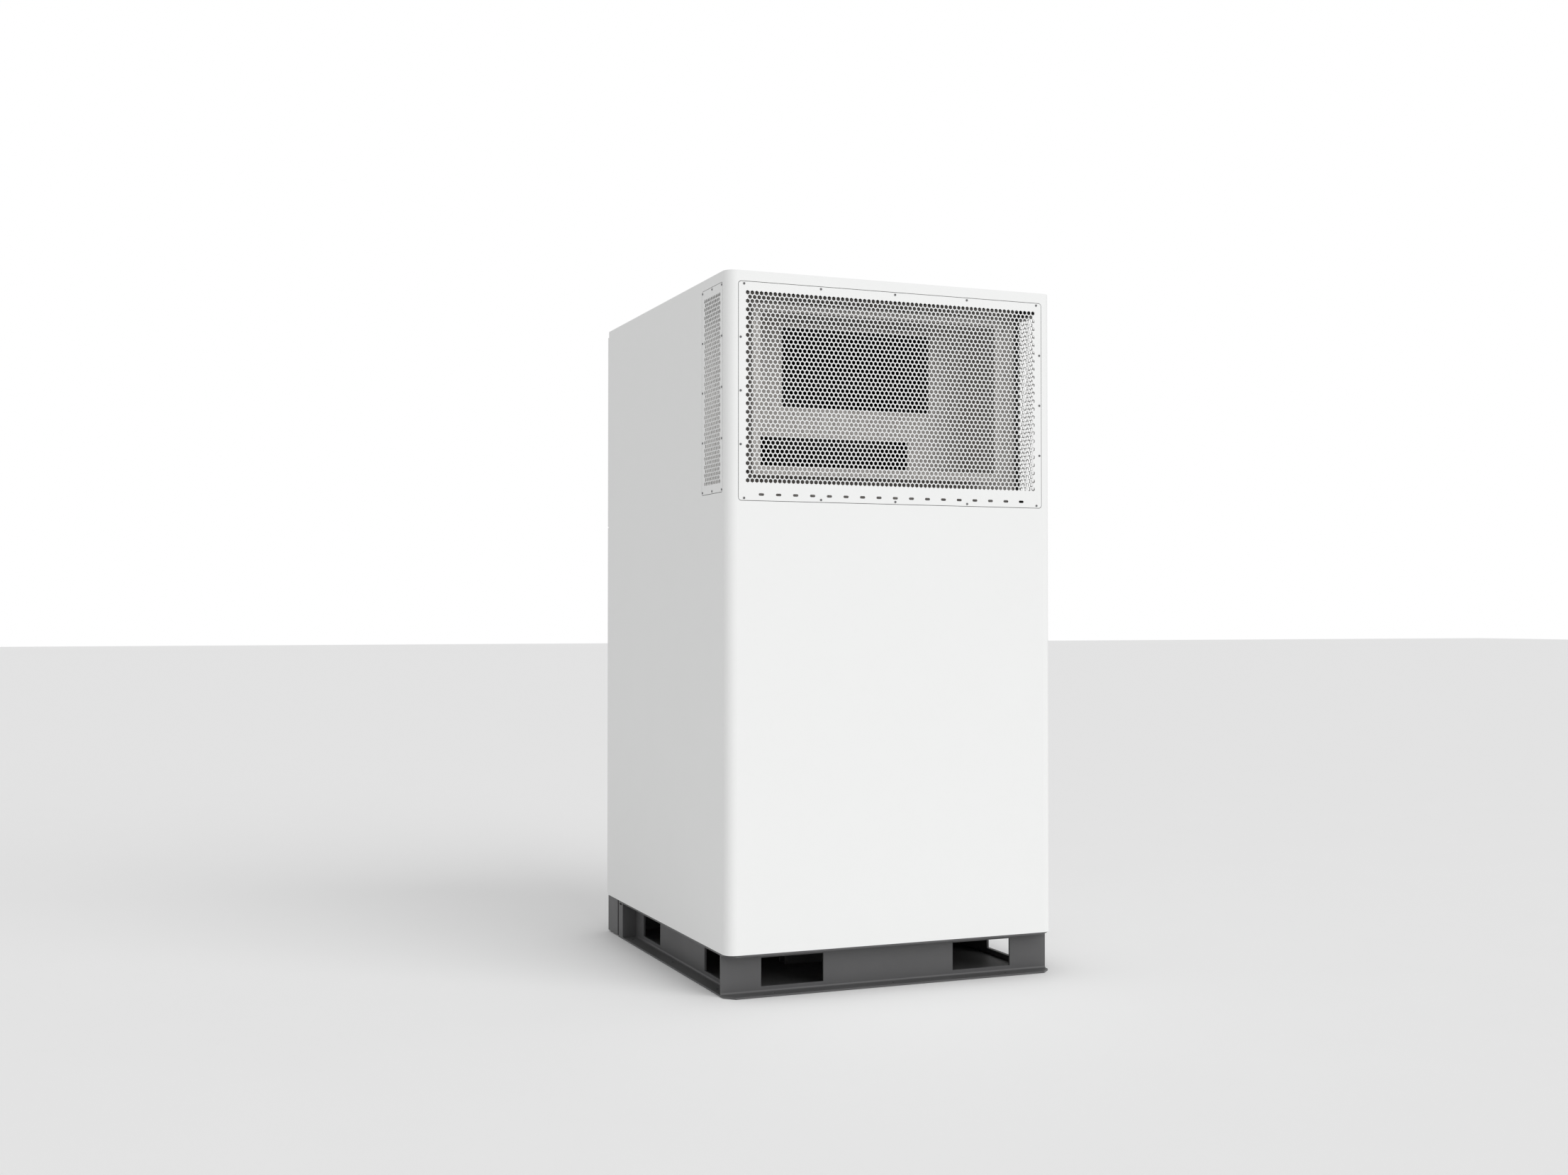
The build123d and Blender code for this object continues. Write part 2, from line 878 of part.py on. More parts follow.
# Seats: flat frames behind the casing that the grille panels lie on.
with BuildPart() as grille_seats:
    with BuildSketch(front_plane(front + sheet)):
        with Locations((0, panel_middle)):
            Rectangle(panel_width + 2 * seat_reach, panel_height + 2 * seat_rise - deck_drop)
            Rectangle(
                panel_width - 2 * seat_lap, panel_height - 2 * seat_lap, mode=Mode.SUBTRACT
            )
        with Locations(*[(x, panel_middle + z) for x, z in front_screws]):
            Circle(screw_radius + screw_hole_gap, mode=Mode.SUBTRACT)
    extrude(amount=-sheet)
    for side in (-1, 1):
        with BuildSketch(side_plane(side * inner_half)):
            with Locations((side_middle, side_panel_middle)):
                Rectangle(side_panel_width + 2 * seat_reach, side_panel_height + 2 * seat_rise)
                Rectangle(
                    side_panel_width - 2 * seat_lap, side_panel_height - 2 * seat_lap, mode=Mode.SUBTRACT
                )
            with Locations(*[(side_middle + y, side_panel_middle + z) for y, z in side_screws]):
                Circle(screw_radius + screw_hole_gap, mode=Mode.SUBTRACT)
        extrude(amount=-side * sheet)
save(grille_seats.part, "grille_seats")


def screw(location, direction):
    """One pan-head screw, its head seated at the location."""
    with BuildPart() as one:
        with BuildSketch(Plane(origin=location, z_dir=direction)):
            Circle(screw_head_radius)
        extrude(amount=screw_head_height)
        with BuildSketch(Plane(origin=location, z_dir=direction)):
            Circle(screw_radius)
        extrude(amount=-screw_length)
    return one.part


with BuildPart() as grille_screws:
    for x, z in front_screws:
        add(screw((x, front, panel_middle + z), (0, -1, 0)))
    for side in (-1, 1):
        for y, z in side_screws:
            place = (side * half_width, side_middle + y, side_panel_middle + z)
            add(screw(place, (side, 0, 0)))
save(grille_screws.part, "grille_screws")


# ================================================================== front plenum
plenum_back = front + side_panel_start + side_panel_width - plenum_lap
collar_half = half_width - collar_margin
collar_low = deck_top + collar_bottom_rise
collar_high = cover_low - collar_top_drop
collar_height = collar_high - collar_low

with BuildPart() as plenum_floor:
    block(
        (-inner_half + plenum_floor_inset, inner_half - plenum_floor_inset),
        (front + 2 * sheet + contact, plenum_back),
        (deck_top, deck_top + sheet),
    )
    block(
        (-inner_half + plenum_floor_inset, inner_half - plenum_floor_inset),
        (plenum_back - sheet, plenum_back),
        (deck_top, deck_top + plenum_lip),
    )
save(plenum_floor.part, "plenum_floor")

with BuildPart() as bulkhead:
    block(
        (-inner_half + sheet + contact, inner_half - sheet - contact),
        (plenum_back, plenum_back + sheet),
        (deck_top, cover_low),
    )
    block(
        (-collar_half - sheet - contact, collar_half + sheet + contact),
        (plenum_back, plenum_back + sheet),
        (collar_low - sheet - contact, collar_high + sheet + contact),
        Mode.SUBTRACT,
    )
save(bulkhead.part, "bulkhead")

# Discharge collar: a rectangular sleeve with a flat flange round its mouth.
with BuildPart() as duct_collar:
    collar_middle = (collar_low + collar_high) / 2
    with BuildSketch(front_plane(front + collar_start)):
        with Locations((0, collar_middle)):
            Rectangle(2 * (collar_half + collar_flange), collar_height + 2 * collar_flange)
    extrude(amount=-sheet)
    with BuildSketch(front_plane(front + collar_start)):
        with Locations((0, collar_middle)):
            Rectangle(2 * (collar_half + sheet), collar_height + 2 * sheet)
    extrude(amount=-(fan_wall_start - collar_start))
    with BuildSketch(front_plane(front + collar_start)):
        with Locations((0, collar_middle)):
            Rectangle(2 * collar_half, collar_height)
    extrude(amount=-(fan_wall_start - collar_start), mode=Mode.SUBTRACT)
save(duct_collar.part, "duct_collar")

outlet_high = cover_low - outlet_drop
outlet_low = outlet_high - outlet_height
outlet_x = (blower_offset - outlet_width / 2, blower_offset + outlet_width / 2)
with BuildPart() as fan_wall_plate:
    block(
        (-inner_half + contact, inner_half - contact),
        (fan_wall, fan_wall + sheet),
        (deck_top, cover_low),
    )
    block(outlet_x, (fan_wall, fan_wall + sheet), (outlet_low, outlet_high), Mode.SUBTRACT)
    block(
        (slot_opening_offset - slot_opening_width / 2, slot_opening_offset + slot_opening_width / 2),
        (fan_wall, fan_wall + sheet),
        (deck_top + slot_opening_rise, deck_top + slot_opening_rise + slot_opening_height),
        Mode.SUBTRACT,
    )
save(fan_wall_plate.part, "fan_wall")


# ================================================================== blower
wheel_y = fan_wall + sheet + blower_back
wheel_z = outlet_high - cutoff_radius - 5 * volute_step / 2


def volute_face(inset):
    """Side outline of the scroll: three quarter arcs of growing radius and the straight outlet."""
    half = volute_step / 2
    first = (wheel_y + half, wheel_z - half)
    second = (wheel_y + half, wheel_z + half)
    third = (wheel_y - half, wheel_z + half)
    radii = [cutoff_radius + step * volute_step - inset for step in range(3)]
    lip = outlet_low + inset
    lip_angle = degrees(asin((lip - first[1]) / radii[0]))
    mouth = fan_wall + sheet - (inset * 2)
    top = third[1] + radii[2]
    with BuildSketch(side_plane(0)) as outline:
        with BuildLine():
            arc_one = CenterArc(first, radii[0], 180 - lip_angle, 90 + lip_angle)
            CenterArc(second, radii[1], 270, 90)
            arc_three = CenterArc(third, radii[2], 0, 90)
            Line(arc_three @ 1, (mouth, top))
            Line((mouth, top), (mouth, lip))
            Line((mouth, lip), arc_one @ 0)
        make_face()
    return outline.sketch


with BuildPart() as blower_scroll:
    add(volute_face(0).moved(Location((outlet_x[0], 0, 0))))
    extrude(amount=outlet_width, dir=(1, 0, 0))
    add(volute_face(sheet).moved(Location((outlet_x[0] + sheet, 0, 0))))
    extrude(amount=outlet_width - 2 * sheet, dir=(1, 0, 0), mode=Mode.SUBTRACT)
    rod(
        (outlet_x[0] - overcut, wheel_y, wheel_z),
        (outlet_x[1] + overcut, wheel_y, wheel_z),
        inlet_radius,
        Mode.SUBTRACT,
    )
save(blower_scroll.part, "blower_scroll")

# Double-inlet wheel: a middle disc with a hub, forward-curved blades and a ring at each end.
wheel_low = blower_offset - wheel_width / 2
with BuildPart() as blower_wheel:
    blade_mid = wheel_radius - blade_depth / 2
    with BuildSketch(side_plane(wheel_low)):
        with Locations((wheel_y, wheel_z)):
            with PolarLocations(blade_mid, blade_count):
                Rectangle(blade_depth - blade_rim_gap, blade_plate, rotation=blade_angle)
    extrude(amount=wheel_width)
    for ring_x in (wheel_low, wheel_low + wheel_width - wheel_ring):
        with BuildSketch(side_plane(ring_x)):
            with Locations((wheel_y, wheel_z)):
                Circle(wheel_radius)
                Circle(wheel_radius - blade_depth, mode=Mode.SUBTRACT)
        extrude(amount=wheel_ring)
    with BuildSketch(side_plane(blower_offset - wheel_disc / 2)):
        with Locations((wheel_y, wheel_z)):
            Circle(wheel_radius - blade_rim_gap)
    extrude(amount=wheel_disc)
    with BuildSketch(side_plane(blower_offset - wheel_disc / 2)):
        with Locations((wheel_y, wheel_z)):
            Circle(hub_radius)
    extrude(amount=hub_length)
    with BuildSketch(side_plane(blower_offset - wheel_disc)):
        with Locations((wheel_y, wheel_z)):
            Circle(shaft_radius)
    extrude(amount=hub_length + 2 * wheel_disc, mode=Mode.SUBTRACT)
save(blower_wheel.part, "blower_wheel")

motor_end = blower_offset - wheel_disc / 2 - motor_gap
motor_x = (motor_end - motor_length, motor_end)
with BuildPart() as blower_shaft:
    rod(
        (motor_x[0] + shaft_start, wheel_y, wheel_z),
        (blower_offset + shaft_end, wheel_y, wheel_z),
        shaft_radius,
    )
    end_face = blower_shaft.edges().filter_by(GeomType.CIRCLE)
    chamfer(end_face, shaft_chamfer)
save(blower_shaft.part, "blower_shaft")

with BuildPart() as blower_motor:
    rod((motor_x[0], wheel_y, wheel_z), (motor_x[1], wheel_y, wheel_z), motor_radius)
    rims = blower_motor.edges().filter_by(GeomType.CIRCLE)
    fillet(rims, motor_edge)
    rod(
        (motor_x[0] + motor_bore_start, wheel_y, wheel_z),
        (motor_x[1] + overcut, wheel_y, wheel_z),
        shaft_radius + running_gap,
        Mode.SUBTRACT,
    )
save(blower_motor.part, "blower_motor")

# Cradle: a clamp band, three arms inside the wheel's open end, posts out through the inlet to lugs
# on the scroll's cheek, and two angle feet under the scroll.
band_x = motor_x[0] + band_inset
bar_inner = cradle_radius - bar_width / 2
bar_outer = cradle_radius + bar_width / 2
cradle_bars = (
    ((motor_radius + band_plate / 2, bar_outer), (band_x, band_x + bar_plate)),
    ((bar_inner, bar_outer), (outlet_x[0] - bar_plate, band_x + bar_plate)),
    ((bar_inner, inlet_radius + lug_lap), (outlet_x[0] - bar_plate, outlet_x[0])),
)
with BuildPart() as blower_mounting:
    with BuildSketch(side_plane(band_x)):
        with Locations((wheel_y, wheel_z)):
            Circle(motor_radius + band_plate)
            Circle(motor_radius, mode=Mode.SUBTRACT)
    extrude(amount=band_width)
    for reach, span in cradle_bars:
        with BuildSketch(side_plane(span[0])):
            with Locations((wheel_y, wheel_z)):
                with PolarLocations(sum(reach) / 2, 3, start_angle=90):
                    Rectangle(reach[1] - reach[0], bar_width)
        extrude(amount=span[1] - span[0])
    scroll_low = wheel_z - volute_step / 2 - cutoff_radius
    for side in (-1, 1):
        foot_x = blower_offset + side * (outlet_width / 2 - foot_inset)
        block(
            (foot_x - foot_width / 2, foot_x + foot_width / 2),
            (wheel_y - foot_front, wheel_y + foot_back),
            (deck_top, deck_top + foot_plate),
        )
        block(
            (foot_x - foot_plate / 2, foot_x + foot_plate / 2),
            (wheel_y - foot_web_front, wheel_y + foot_web_back),
            (deck_top, scroll_low),
        )
save(blower_mounting.part, "blower_mounting")

# ================================================================== coil, pan, filter
coil_low = deck_top + coil_rise
coil_high = cover_low - coil_top_gap
coil_height = coil_high - coil_low
coil_rear = coil_front + coil_depth
row_pitch = coil_height / coil_rows

with BuildPart() as coil_fins:
    block((-coil_half, coil_half), (coil_front, coil_rear), (coil_low, coil_high))
save(coil_fins.part, "coil_fins")

# Coil frame: two flanged end plates, and behind them a shroud that sends all the air through the fins.
with BuildPart() as coil_frame:
    for side in (-1, 1):
        block(
            (side * coil_half, side * (coil_half + sheet)),
            (coil_front, coil_rear),
            (coil_low, coil_high),
        )
        block(
            (side * (coil_half + sheet), side * (coil_half + end_plate_flange)),
            (coil_rear - sheet, coil_rear),
            (coil_low, coil_high),
        )
    block(
        (-inner_half + shroud_side_gap, inner_half - shroud_side_gap),
        (coil_rear, coil_rear + sheet),
        (deck_top, cover_low - shroud_top_gap),
    )
    block(
        (-coil_half + shroud_lap, coil_half - shroud_lap),
        (coil_rear, coil_rear + sheet),
        (coil_low + shroud_lap, coil_high - shroud_lap),
        Mode.SUBTRACT,
    )
save(coil_frame.part, "coil_frame")


def return_bend(middle_z):
    """One hairpin end: half a ring of tube that stands out of the coil's right-hand end plate."""
    spread = row_pitch / 4
    start = (coil_half + sheet, coil_front + coil_depth / 2, middle_z - spread)
    with BuildPart() as bend:
        with BuildLine() as path:
            ThreePointArc(
                start,
                (coil_half + sheet + spread, coil_front + coil_depth / 2, middle_z),
                (coil_half + sheet, coil_front + coil_depth / 2, middle_z + spread),
            )
        with BuildSketch(Plane(origin=start, z_dir=(1, 0, 0))):
            Circle(bend_tube_radius)
        sweep(path=path.line)
    return bend.part


# Pipework: the hairpin ends on the right, and on the left two upright headers with their branches.
liquid_bottom = deck_top + liquid_start
gas_joint_z = coil_low + 2 * row_pitch
with BuildPart() as coil_pipework:
    for row in range(coil_rows):
        add(return_bend(coil_low + row * row_pitch + row_pitch / 2))
    rod(
        (header_x, gas_header_y, coil_low + gas_header_inset),
        (header_x, gas_header_y, coil_high - gas_header_inset),
        gas_header_radius,
    )
    for row in range(0, coil_rows, 2):
        z = coil_low + row * row_pitch + row_pitch / 2
        rod((header_x, gas_header_y, z), (-coil_half - sheet, gas_header_y, z), bend_tube_radius)
    rod((header_x, gas_header_y, gas_joint_z), (header_x, gas_header_y - gas_stub, gas_joint_z), gas_tube)
    rod(
        (liquid_header_x, vessel_y, liquid_bottom + expansion_height - expansion_lap),
        (liquid_header_x, vessel_y, coil_high - liquid_header_drop),
        liquid_header_radius,
    )
    rod(
        (liquid_header_x, vessel_y, liquid_bottom),
        (liquid_header_x, vessel_y, liquid_bottom + expansion_height),
        expansion_radius,
    )
    rod(
        (liquid_header_x - expansion_reach, vessel_y, liquid_bottom + expansion_cap_rise),
        (liquid_header_x, vessel_y, liquid_bottom + expansion_cap_rise),
        expansion_cap_radius,
    )
    for row in range(1, coil_rows, 2):
        z = coil_low + row * row_pitch + row_pitch / 2
        rod((liquid_header_x, vessel_y, z), (-coil_half - sheet, vessel_y, z), bend_tube_radius / 2)
save(coil_pipework.part, "coil_pipework")

with BuildPart() as drain_pan:
    pan_x = (-coil_half, half_width - pan_side_gap)
    pan_y = (coil_front - pan_lap, coil_rear)
    block(pan_x, pan_y, (deck_top + pan_rise, deck_top + pan_rise + pan_height))
    block(
        (pan_x[0] + sheet, pan_x[1] - sheet),
        (pan_y[0] + sheet, pan_y[1] - sheet),
        (deck_top + pan_rise + sheet, deck_top + pan_rise + pan_height),
        Mode.SUBTRACT,
    )
    for side in (-1, 1):
        block(
            (side * (coil_half - pan_foot_end), side * (coil_half - pan_foot_start)),
            (coil_front, coil_rear - 2 * sheet),
            (deck_top + pan_rise + sheet, coil_low),
        )
        block(
            (side * (coil_half - pan_foot_end), side * (coil_half - pan_foot_start)),
            (coil_front, coil_rear - 2 * sheet),
            (deck_top, deck_top + pan_rise),
        )
    rod(
        (drain_x, drain_y, deck_top + pan_spout_low),
        (drain_x, drain_y, deck_top + pan_rise + weld_lap),
        pan_spout_radius,
    )
    rod(
        (drain_x, drain_y, deck_top),
        (drain_x, drain_y, deck_top + pan_rise + pan_spout_cut),
        pan_spout_bore,
        Mode.SUBTRACT,
    )
save(drain_pan.part, "drain_pan")

# Filter: a tray frame with a zigzag medium inside it.
filter_low = coil_rear + filter_gap
filter_z = (coil_low - filter_low_lap, coil_high + filter_top_lap)
with BuildPart() as filter_frame:
    block((-coil_half, coil_half), (filter_low, filter_low + filter_depth), filter_z)
    block(
        (-coil_half + filter_rim, coil_half - filter_rim),
        (filter_low, filter_low + filter_depth),
        (filter_z[0] + filter_rim, filter_z[1] - filter_rim),
        Mode.SUBTRACT,
    )
    for side in (-1, 1):
        block(
            (side * (coil_half - pan_foot_end), side * (coil_half - pan_foot_start)),
            (coil_rear + sheet, filter_low),
            (filter_z[0], filter_z[0] + filter_rail),
        )
        block(
            (side * (coil_half - pan_foot_end), side * (coil_half - pan_foot_start)),
            (filter_low, filter_low + filter_depth),
            (deck_top, filter_z[0]),
        )
save(filter_frame.part, "filter_frame")

with BuildPart() as filter_media:
    pleats = ceil(2 * (coil_half - filter_rim) / pleat_pitch)
    step = 2 * (coil_half - filter_rim) / pleats
    near = []
    for fold in range(2 * pleats + 1):
        fold_y = pleat_front if fold % 2 else pleat_back
        near.append((-coil_half + filter_rim + fold * step / 2, filter_low + fold_y))
    far = [(x, y + pleat_thickness) for x, y in reversed(near)]
    with BuildSketch(Plane.XY.offset(filter_z[0] + filter_rim)):
        with BuildLine():
            Polyline(*near, *far, close=True)
        make_face()
    extrude(amount=filter_z[1] - filter_z[0] - 2 * filter_rim)
save(filter_media.part, "filter_media")


# ================================================================== lower compartment
def vessel(x, y, low, high, radius, dome):
    """An upright pressed-steel vessel with rounded ends."""
    with BuildPart() as can:
        rod((x, y, low), (x, y, high), radius)
        ends = can.edges().filter_by(GeomType.CIRCLE)
        fillet(ends, dome)
    return can.part


def stand(x, low, radius):
    """A vessel's foot: a short drum on a round plate, in the active part."""
    rod((x, vessel_y, floor_top), (x, vessel_y, low + vessel_stand_lap), radius - vessel_stand_inset)
    rod((x, vessel_y, floor_top), (x, vessel_y, floor_top + vessel_foot_plate), radius + vessel_foot)


compressor_low = floor_top + grommet_height + compressor_plate_thickness
compressor_top = compressor_low + compressor_height
suction_z = compressor_low + suction_rise
suction_x = compressor_x + compressor_radius + suction_reach
discharge_x = compressor_x + discharge_offset
with BuildPart() as compressor:
    add(vessel(compressor_x, machine_y, compressor_low, compressor_top, compressor_radius, compressor_dome))
    block(
        (compressor_x - compressor_plate / 2, compressor_x + compressor_plate / 2),
        (machine_y - compressor_plate / 2, machine_y + compressor_plate / 2),
        (compressor_low - compressor_plate_thickness, compressor_low + weld_lap),
    )
    for weld in (weld_low, compressor_height - weld_high_drop):
        rod(
            (compressor_x, machine_y, compressor_low + weld),
            (compressor_x, machine_y, compressor_low + weld + weld_height),
            compressor_radius + weld_bead,
        )
    rod(
        (discharge_x, machine_y, compressor_top - port_length),
        (discharge_x, machine_y, compressor_top + port_length),
        discharge_tube + port_wall,
    )
    rod(
        (compressor_x, machine_y, suction_z),
        (suction_x, machine_y, suction_z),
        gas_tube + port_wall,
    )
    block(
        (
            compressor_x - compressor_radius - terminal_reach,
            compressor_x - compressor_radius + terminal_sunk,
        ),
        (machine_y - terminal_width / 2, machine_y + terminal_width / 2),
        (compressor_low + terminal_low, compressor_low + terminal_high),
    )
    with Locations(
        *[
            (compressor_x + i * bolt_spread, machine_y + j * bolt_spread, compressor_low)
            for i in (-1, 1)
            for j in (-1, 1)
        ]
    ):
        Cylinder(compressor_bolt_hole, bolt_hole_cut, mode=Mode.SUBTRACT)
save(compressor.part, "compressor")

with BuildPart() as compressor_mounts:
    for i in (-1, 1):
        for j in (-1, 1):
            spot = (compressor_x + i * bolt_spread, machine_y + j * bolt_spread)
            cap_top = compressor_low + grommet_cap_top
            rod((*spot, floor_top), (*spot, compressor_low - compressor_plate_thickness), grommet_radius)
            rod((*spot, floor_top), (*spot, cap_top), grommet_neck)
            rod((*spot, compressor_low + weld_lap), (*spot, cap_top), grommet_cap_radius)
save(compressor_mounts.part, "compressor_mounts")

exchanger_low = floor_top + exchanger_stand
exchanger_top = exchanger_low + exchanger_height
union_z = (recess_low + union_low, recess_low + union_low + union_pitch)
recess_back = inner_half - recess_depth
liquid_port_z = exchanger_low + liquid_port_rise
with BuildPart() as exchanger:
    rod(
        (exchanger_x, machine_y, exchanger_low + exchanger_cap),
        (exchanger_x, machine_y, exchanger_top - exchanger_cap),
        exchanger_radius,
    )
    for z in (exchanger_low, exchanger_top - exchanger_cap):
        rod(
            (exchanger_x, machine_y, z),
            (exchanger_x, machine_y, z + exchanger_cap),
            exchanger_radius + exchanger_cap_lap,
        )
    for z in union_z:
        rod((exchanger_x, machine_y, z), (recess_back - sheet, machine_y, z), union_bore + socket_wall)
    rod(
        (exchanger_x, machine_y, exchanger_top - exchanger_port_sunk),
        (exchanger_x, machine_y, exchanger_top + exchanger_port),
        gas_tube + exchanger_port_wall,
    )
    rod(
        (exchanger_x, machine_y, liquid_port_z),
        (exchanger_x, machine_y + exchanger_radius + liquid_port_reach, liquid_port_z),
        liquid_tube + exchanger_port_wall,
    )
    rod(
        (exchanger_x, machine_y, floor_top),
        (exchanger_x, machine_y, exchanger_low),
        exchanger_radius - stand_inset,
    )
    rod(
        (exchanger_x, machine_y, floor_top),
        (exchanger_x, machine_y, exchanger_low),
        exchanger_radius - stand_inset - stand_plate,
        Mode.SUBTRACT,
    )
    with BuildSketch(Plane.XY.offset(floor_top)):
        with Locations((exchanger_x, machine_y)):
            Circle(exchanger_radius + stand_foot)
            Circle(exchanger_radius - stand_inset - stand_plate, mode=Mode.SUBTRACT)
    extrude(amount=stand_foot_plate)
save(exchanger.part, "heat_exchanger")

# Recess in the right-hand side that holds the water, drain and cable connections.
drain_out_y = machine_y + drain_out_offset
drain_out_z = recess_low + drain_out_rise
gland_places = []
for index in range(gland_count):
    gland_places.append((machine_y - gland_offset, recess_low + gland_rise + index * gland_pitch))
cut_x = (recess_back - recess_cut, recess_back + recess_cut)
with BuildPart() as recess_plate:
    block((recess_back - sheet, recess_back), recess_span, recess_z)
    for z in union_z:
        rod((cut_x[0], machine_y, z), (cut_x[1], machine_y, z), union_bore, Mode.SUBTRACT)
    for y, z in gland_places:
        rod((cut_x[0], y, z), (cut_x[1], y, z), gland_radius - gland_thread, Mode.SUBTRACT)
    rod(
        (cut_x[0], drain_out_y, drain_out_z),
        (cut_x[1], drain_out_y, drain_out_z),
        spigot_radius + screw_hole_gap,
        Mode.SUBTRACT,
    )

# Each wall is a separate angle with its flange behind the casing, spot-welded to the back plate.
recess_walls = []
for side, edge in ((-1, recess_span[0]), (1, recess_span[1])):
    with BuildPart() as upright_wall:
        block((recess_back, inner_half), (edge, edge - side * sheet), recess_z)
        block(
            (inner_half - sheet, inner_half),
            (edge + side * recess_rim, edge - side * sheet),
            (recess_z[0] - recess_rim, recess_z[1] + recess_rim),
        )
    recess_walls.append(upright_wall.part)
for side, edge in ((-1, recess_z[0]), (1, recess_z[1])):
    level_span = (recess_span[0] + sheet, recess_span[1] - sheet)
    with BuildPart() as level_wall:
        block((recess_back, inner_half), level_span, (edge, edge - side * sheet))
        block((inner_half - sheet, inner_half), level_span, (edge + side * recess_rim, edge - side * sheet))
    recess_walls.append(level_wall.part)
save(Compound(children=[recess_plate.part, *recess_walls]), "connection_recess")

# Pipe unions: a ribbed nut round a smooth socket that takes a 50 mm pipe.
with BuildPart() as unions:
    for z in union_z:
        with BuildSketch(side_plane(recess_back)):
            with Locations((machine_y, z)):
                Circle(union_radius)
                with PolarLocations(union_radius, union_ribs):
                    Circle(union_rib_radius)
        extrude(amount=union_nut)
        union_end = recess_back + union_length
        rod((recess_back + union_nut, machine_y, z), (union_end, machine_y, z), union_bore + union_wall)
        rod(
            (union_end - union_socket, machine_y, z),
            (union_end + overcut, machine_y, z),
            union_bore,
            Mode.SUBTRACT,
        )
        rod(
            (recess_back - overcut, machine_y, z),
            (recess_back + union_stop, machine_y, z),
            union_stop_radius,
            Mode.SUBTRACT,
        )
save(unions.part, "water_unions")

with BuildPart() as glands:
    for y, z in gland_places:
        with BuildSketch(side_plane(recess_back)):
            with Locations((y, z)):
                RegularPolygon(gland_radius, 6)
        extrude(amount=gland_nut)
        nut_end = recess_back + gland_nut
        tail = recess_back - gland_tail
        tip = recess_back + gland_length
        rod((nut_end, y, z), (tip, y, z), gland_radius - gland_neck)
        rod((tail, y, z), (nut_end, y, z), gland_radius - gland_thread)
        rod((tail - overcut, y, z), (tip + overcut, y, z), gland_bore, Mode.SUBTRACT)
save(glands.part, "cable_glands")

with BuildPart() as drain_pipe:
    add(
        pipe(
            [
                (drain_x, drain_y, deck_top + pan_spout_low),
                (drain_x, drain_y, drain_out_z + drain_fall),
                (drain_x, drain_out_y, drain_out_z),
                (recess_back + drain_out_reach, drain_out_y, drain_out_z),
            ],
            spigot_radius,
            drain_bend,
        )
    )
    rod(
        (recess_back, drain_out_y, drain_out_z),
        (recess_back + drain_nut, drain_out_y, drain_out_z),
        spigot_radius + drain_nut_lap,
    )
save(drain_pipe.part, "drain_pipe")

receiver_low = floor_top + vessel_stand
receiver_top = receiver_low + receiver_height
with BuildPart() as receiver:
    add(vessel(receiver_x, vessel_y, receiver_low, receiver_top, receiver_radius, receiver_dome))
    for side in (-1, 1):
        x = receiver_x + side * port_gap
        rod(
            (x, vessel_y, receiver_top - vessel_port_sunk),
            (x, vessel_y, receiver_top + vessel_port),
            liquid_tube + liquid_port_wall,
        )
    stand(receiver_x, receiver_low, receiver_radius)
save(receiver.part, "receiver")

drier_low = receiver_top + drier_rise
drier_x = receiver_x - port_gap
with BuildPart() as drier:
    add(vessel(drier_x, vessel_y, drier_low, drier_low + drier_height, drier_radius, drier_dome))
    for z in (drier_low - drier_port_reach, drier_low + drier_height - drier_port_lap):
        port_top = z + drier_port_reach + drier_port_lap
        rod((drier_x, vessel_y, z), (drier_x, vessel_y, port_top), liquid_tube + liquid_port_wall)
save(drier.part, "filter_drier")

accumulator_low = floor_top + vessel_stand
accumulator_top = accumulator_low + accumulator_height
with BuildPart() as accumulator:
    add(
        vessel(
            accumulator_x,
            vessel_y,
            accumulator_low,
            accumulator_top,
            accumulator_radius,
            accumulator_dome,
        )
    )
    for side in (-1, 1):
        x = accumulator_x + side * accumulator_port_gap
        rod(
            (x, vessel_y, accumulator_top - vessel_port_sunk),
            (x, vessel_y, accumulator_top + vessel_port),
            gas_tube + port_wall,
        )
    stand(accumulator_x, accumulator_low, accumulator_radius)
save(accumulator.part, "suction_accumulator")

# Reversing valve: a brass body lying along X with one port above and three below.
valve_z = floor_top + valve_rise
with BuildPart() as valve:
    rod(
        (valve_x - valve_length / 2, machine_y, valve_z),
        (valve_x + valve_length / 2, machine_y, valve_z),
        valve_radius,
    )
    valve_rims = valve.edges().filter_by(GeomType.CIRCLE)
    fillet(valve_rims, valve_edge)
    rod(
        (valve_x, machine_y, valve_z),
        (valve_x, machine_y, valve_z + valve_port),
        discharge_tube + port_wall,
    )
    for port in (-1, 0, 1):
        x = valve_x + port * valve_port_pitch
        rod((x, machine_y, valve_z), (x, machine_y, valve_z - valve_port), gas_tube + port_wall)
save(valve.part, "reversing_valve")

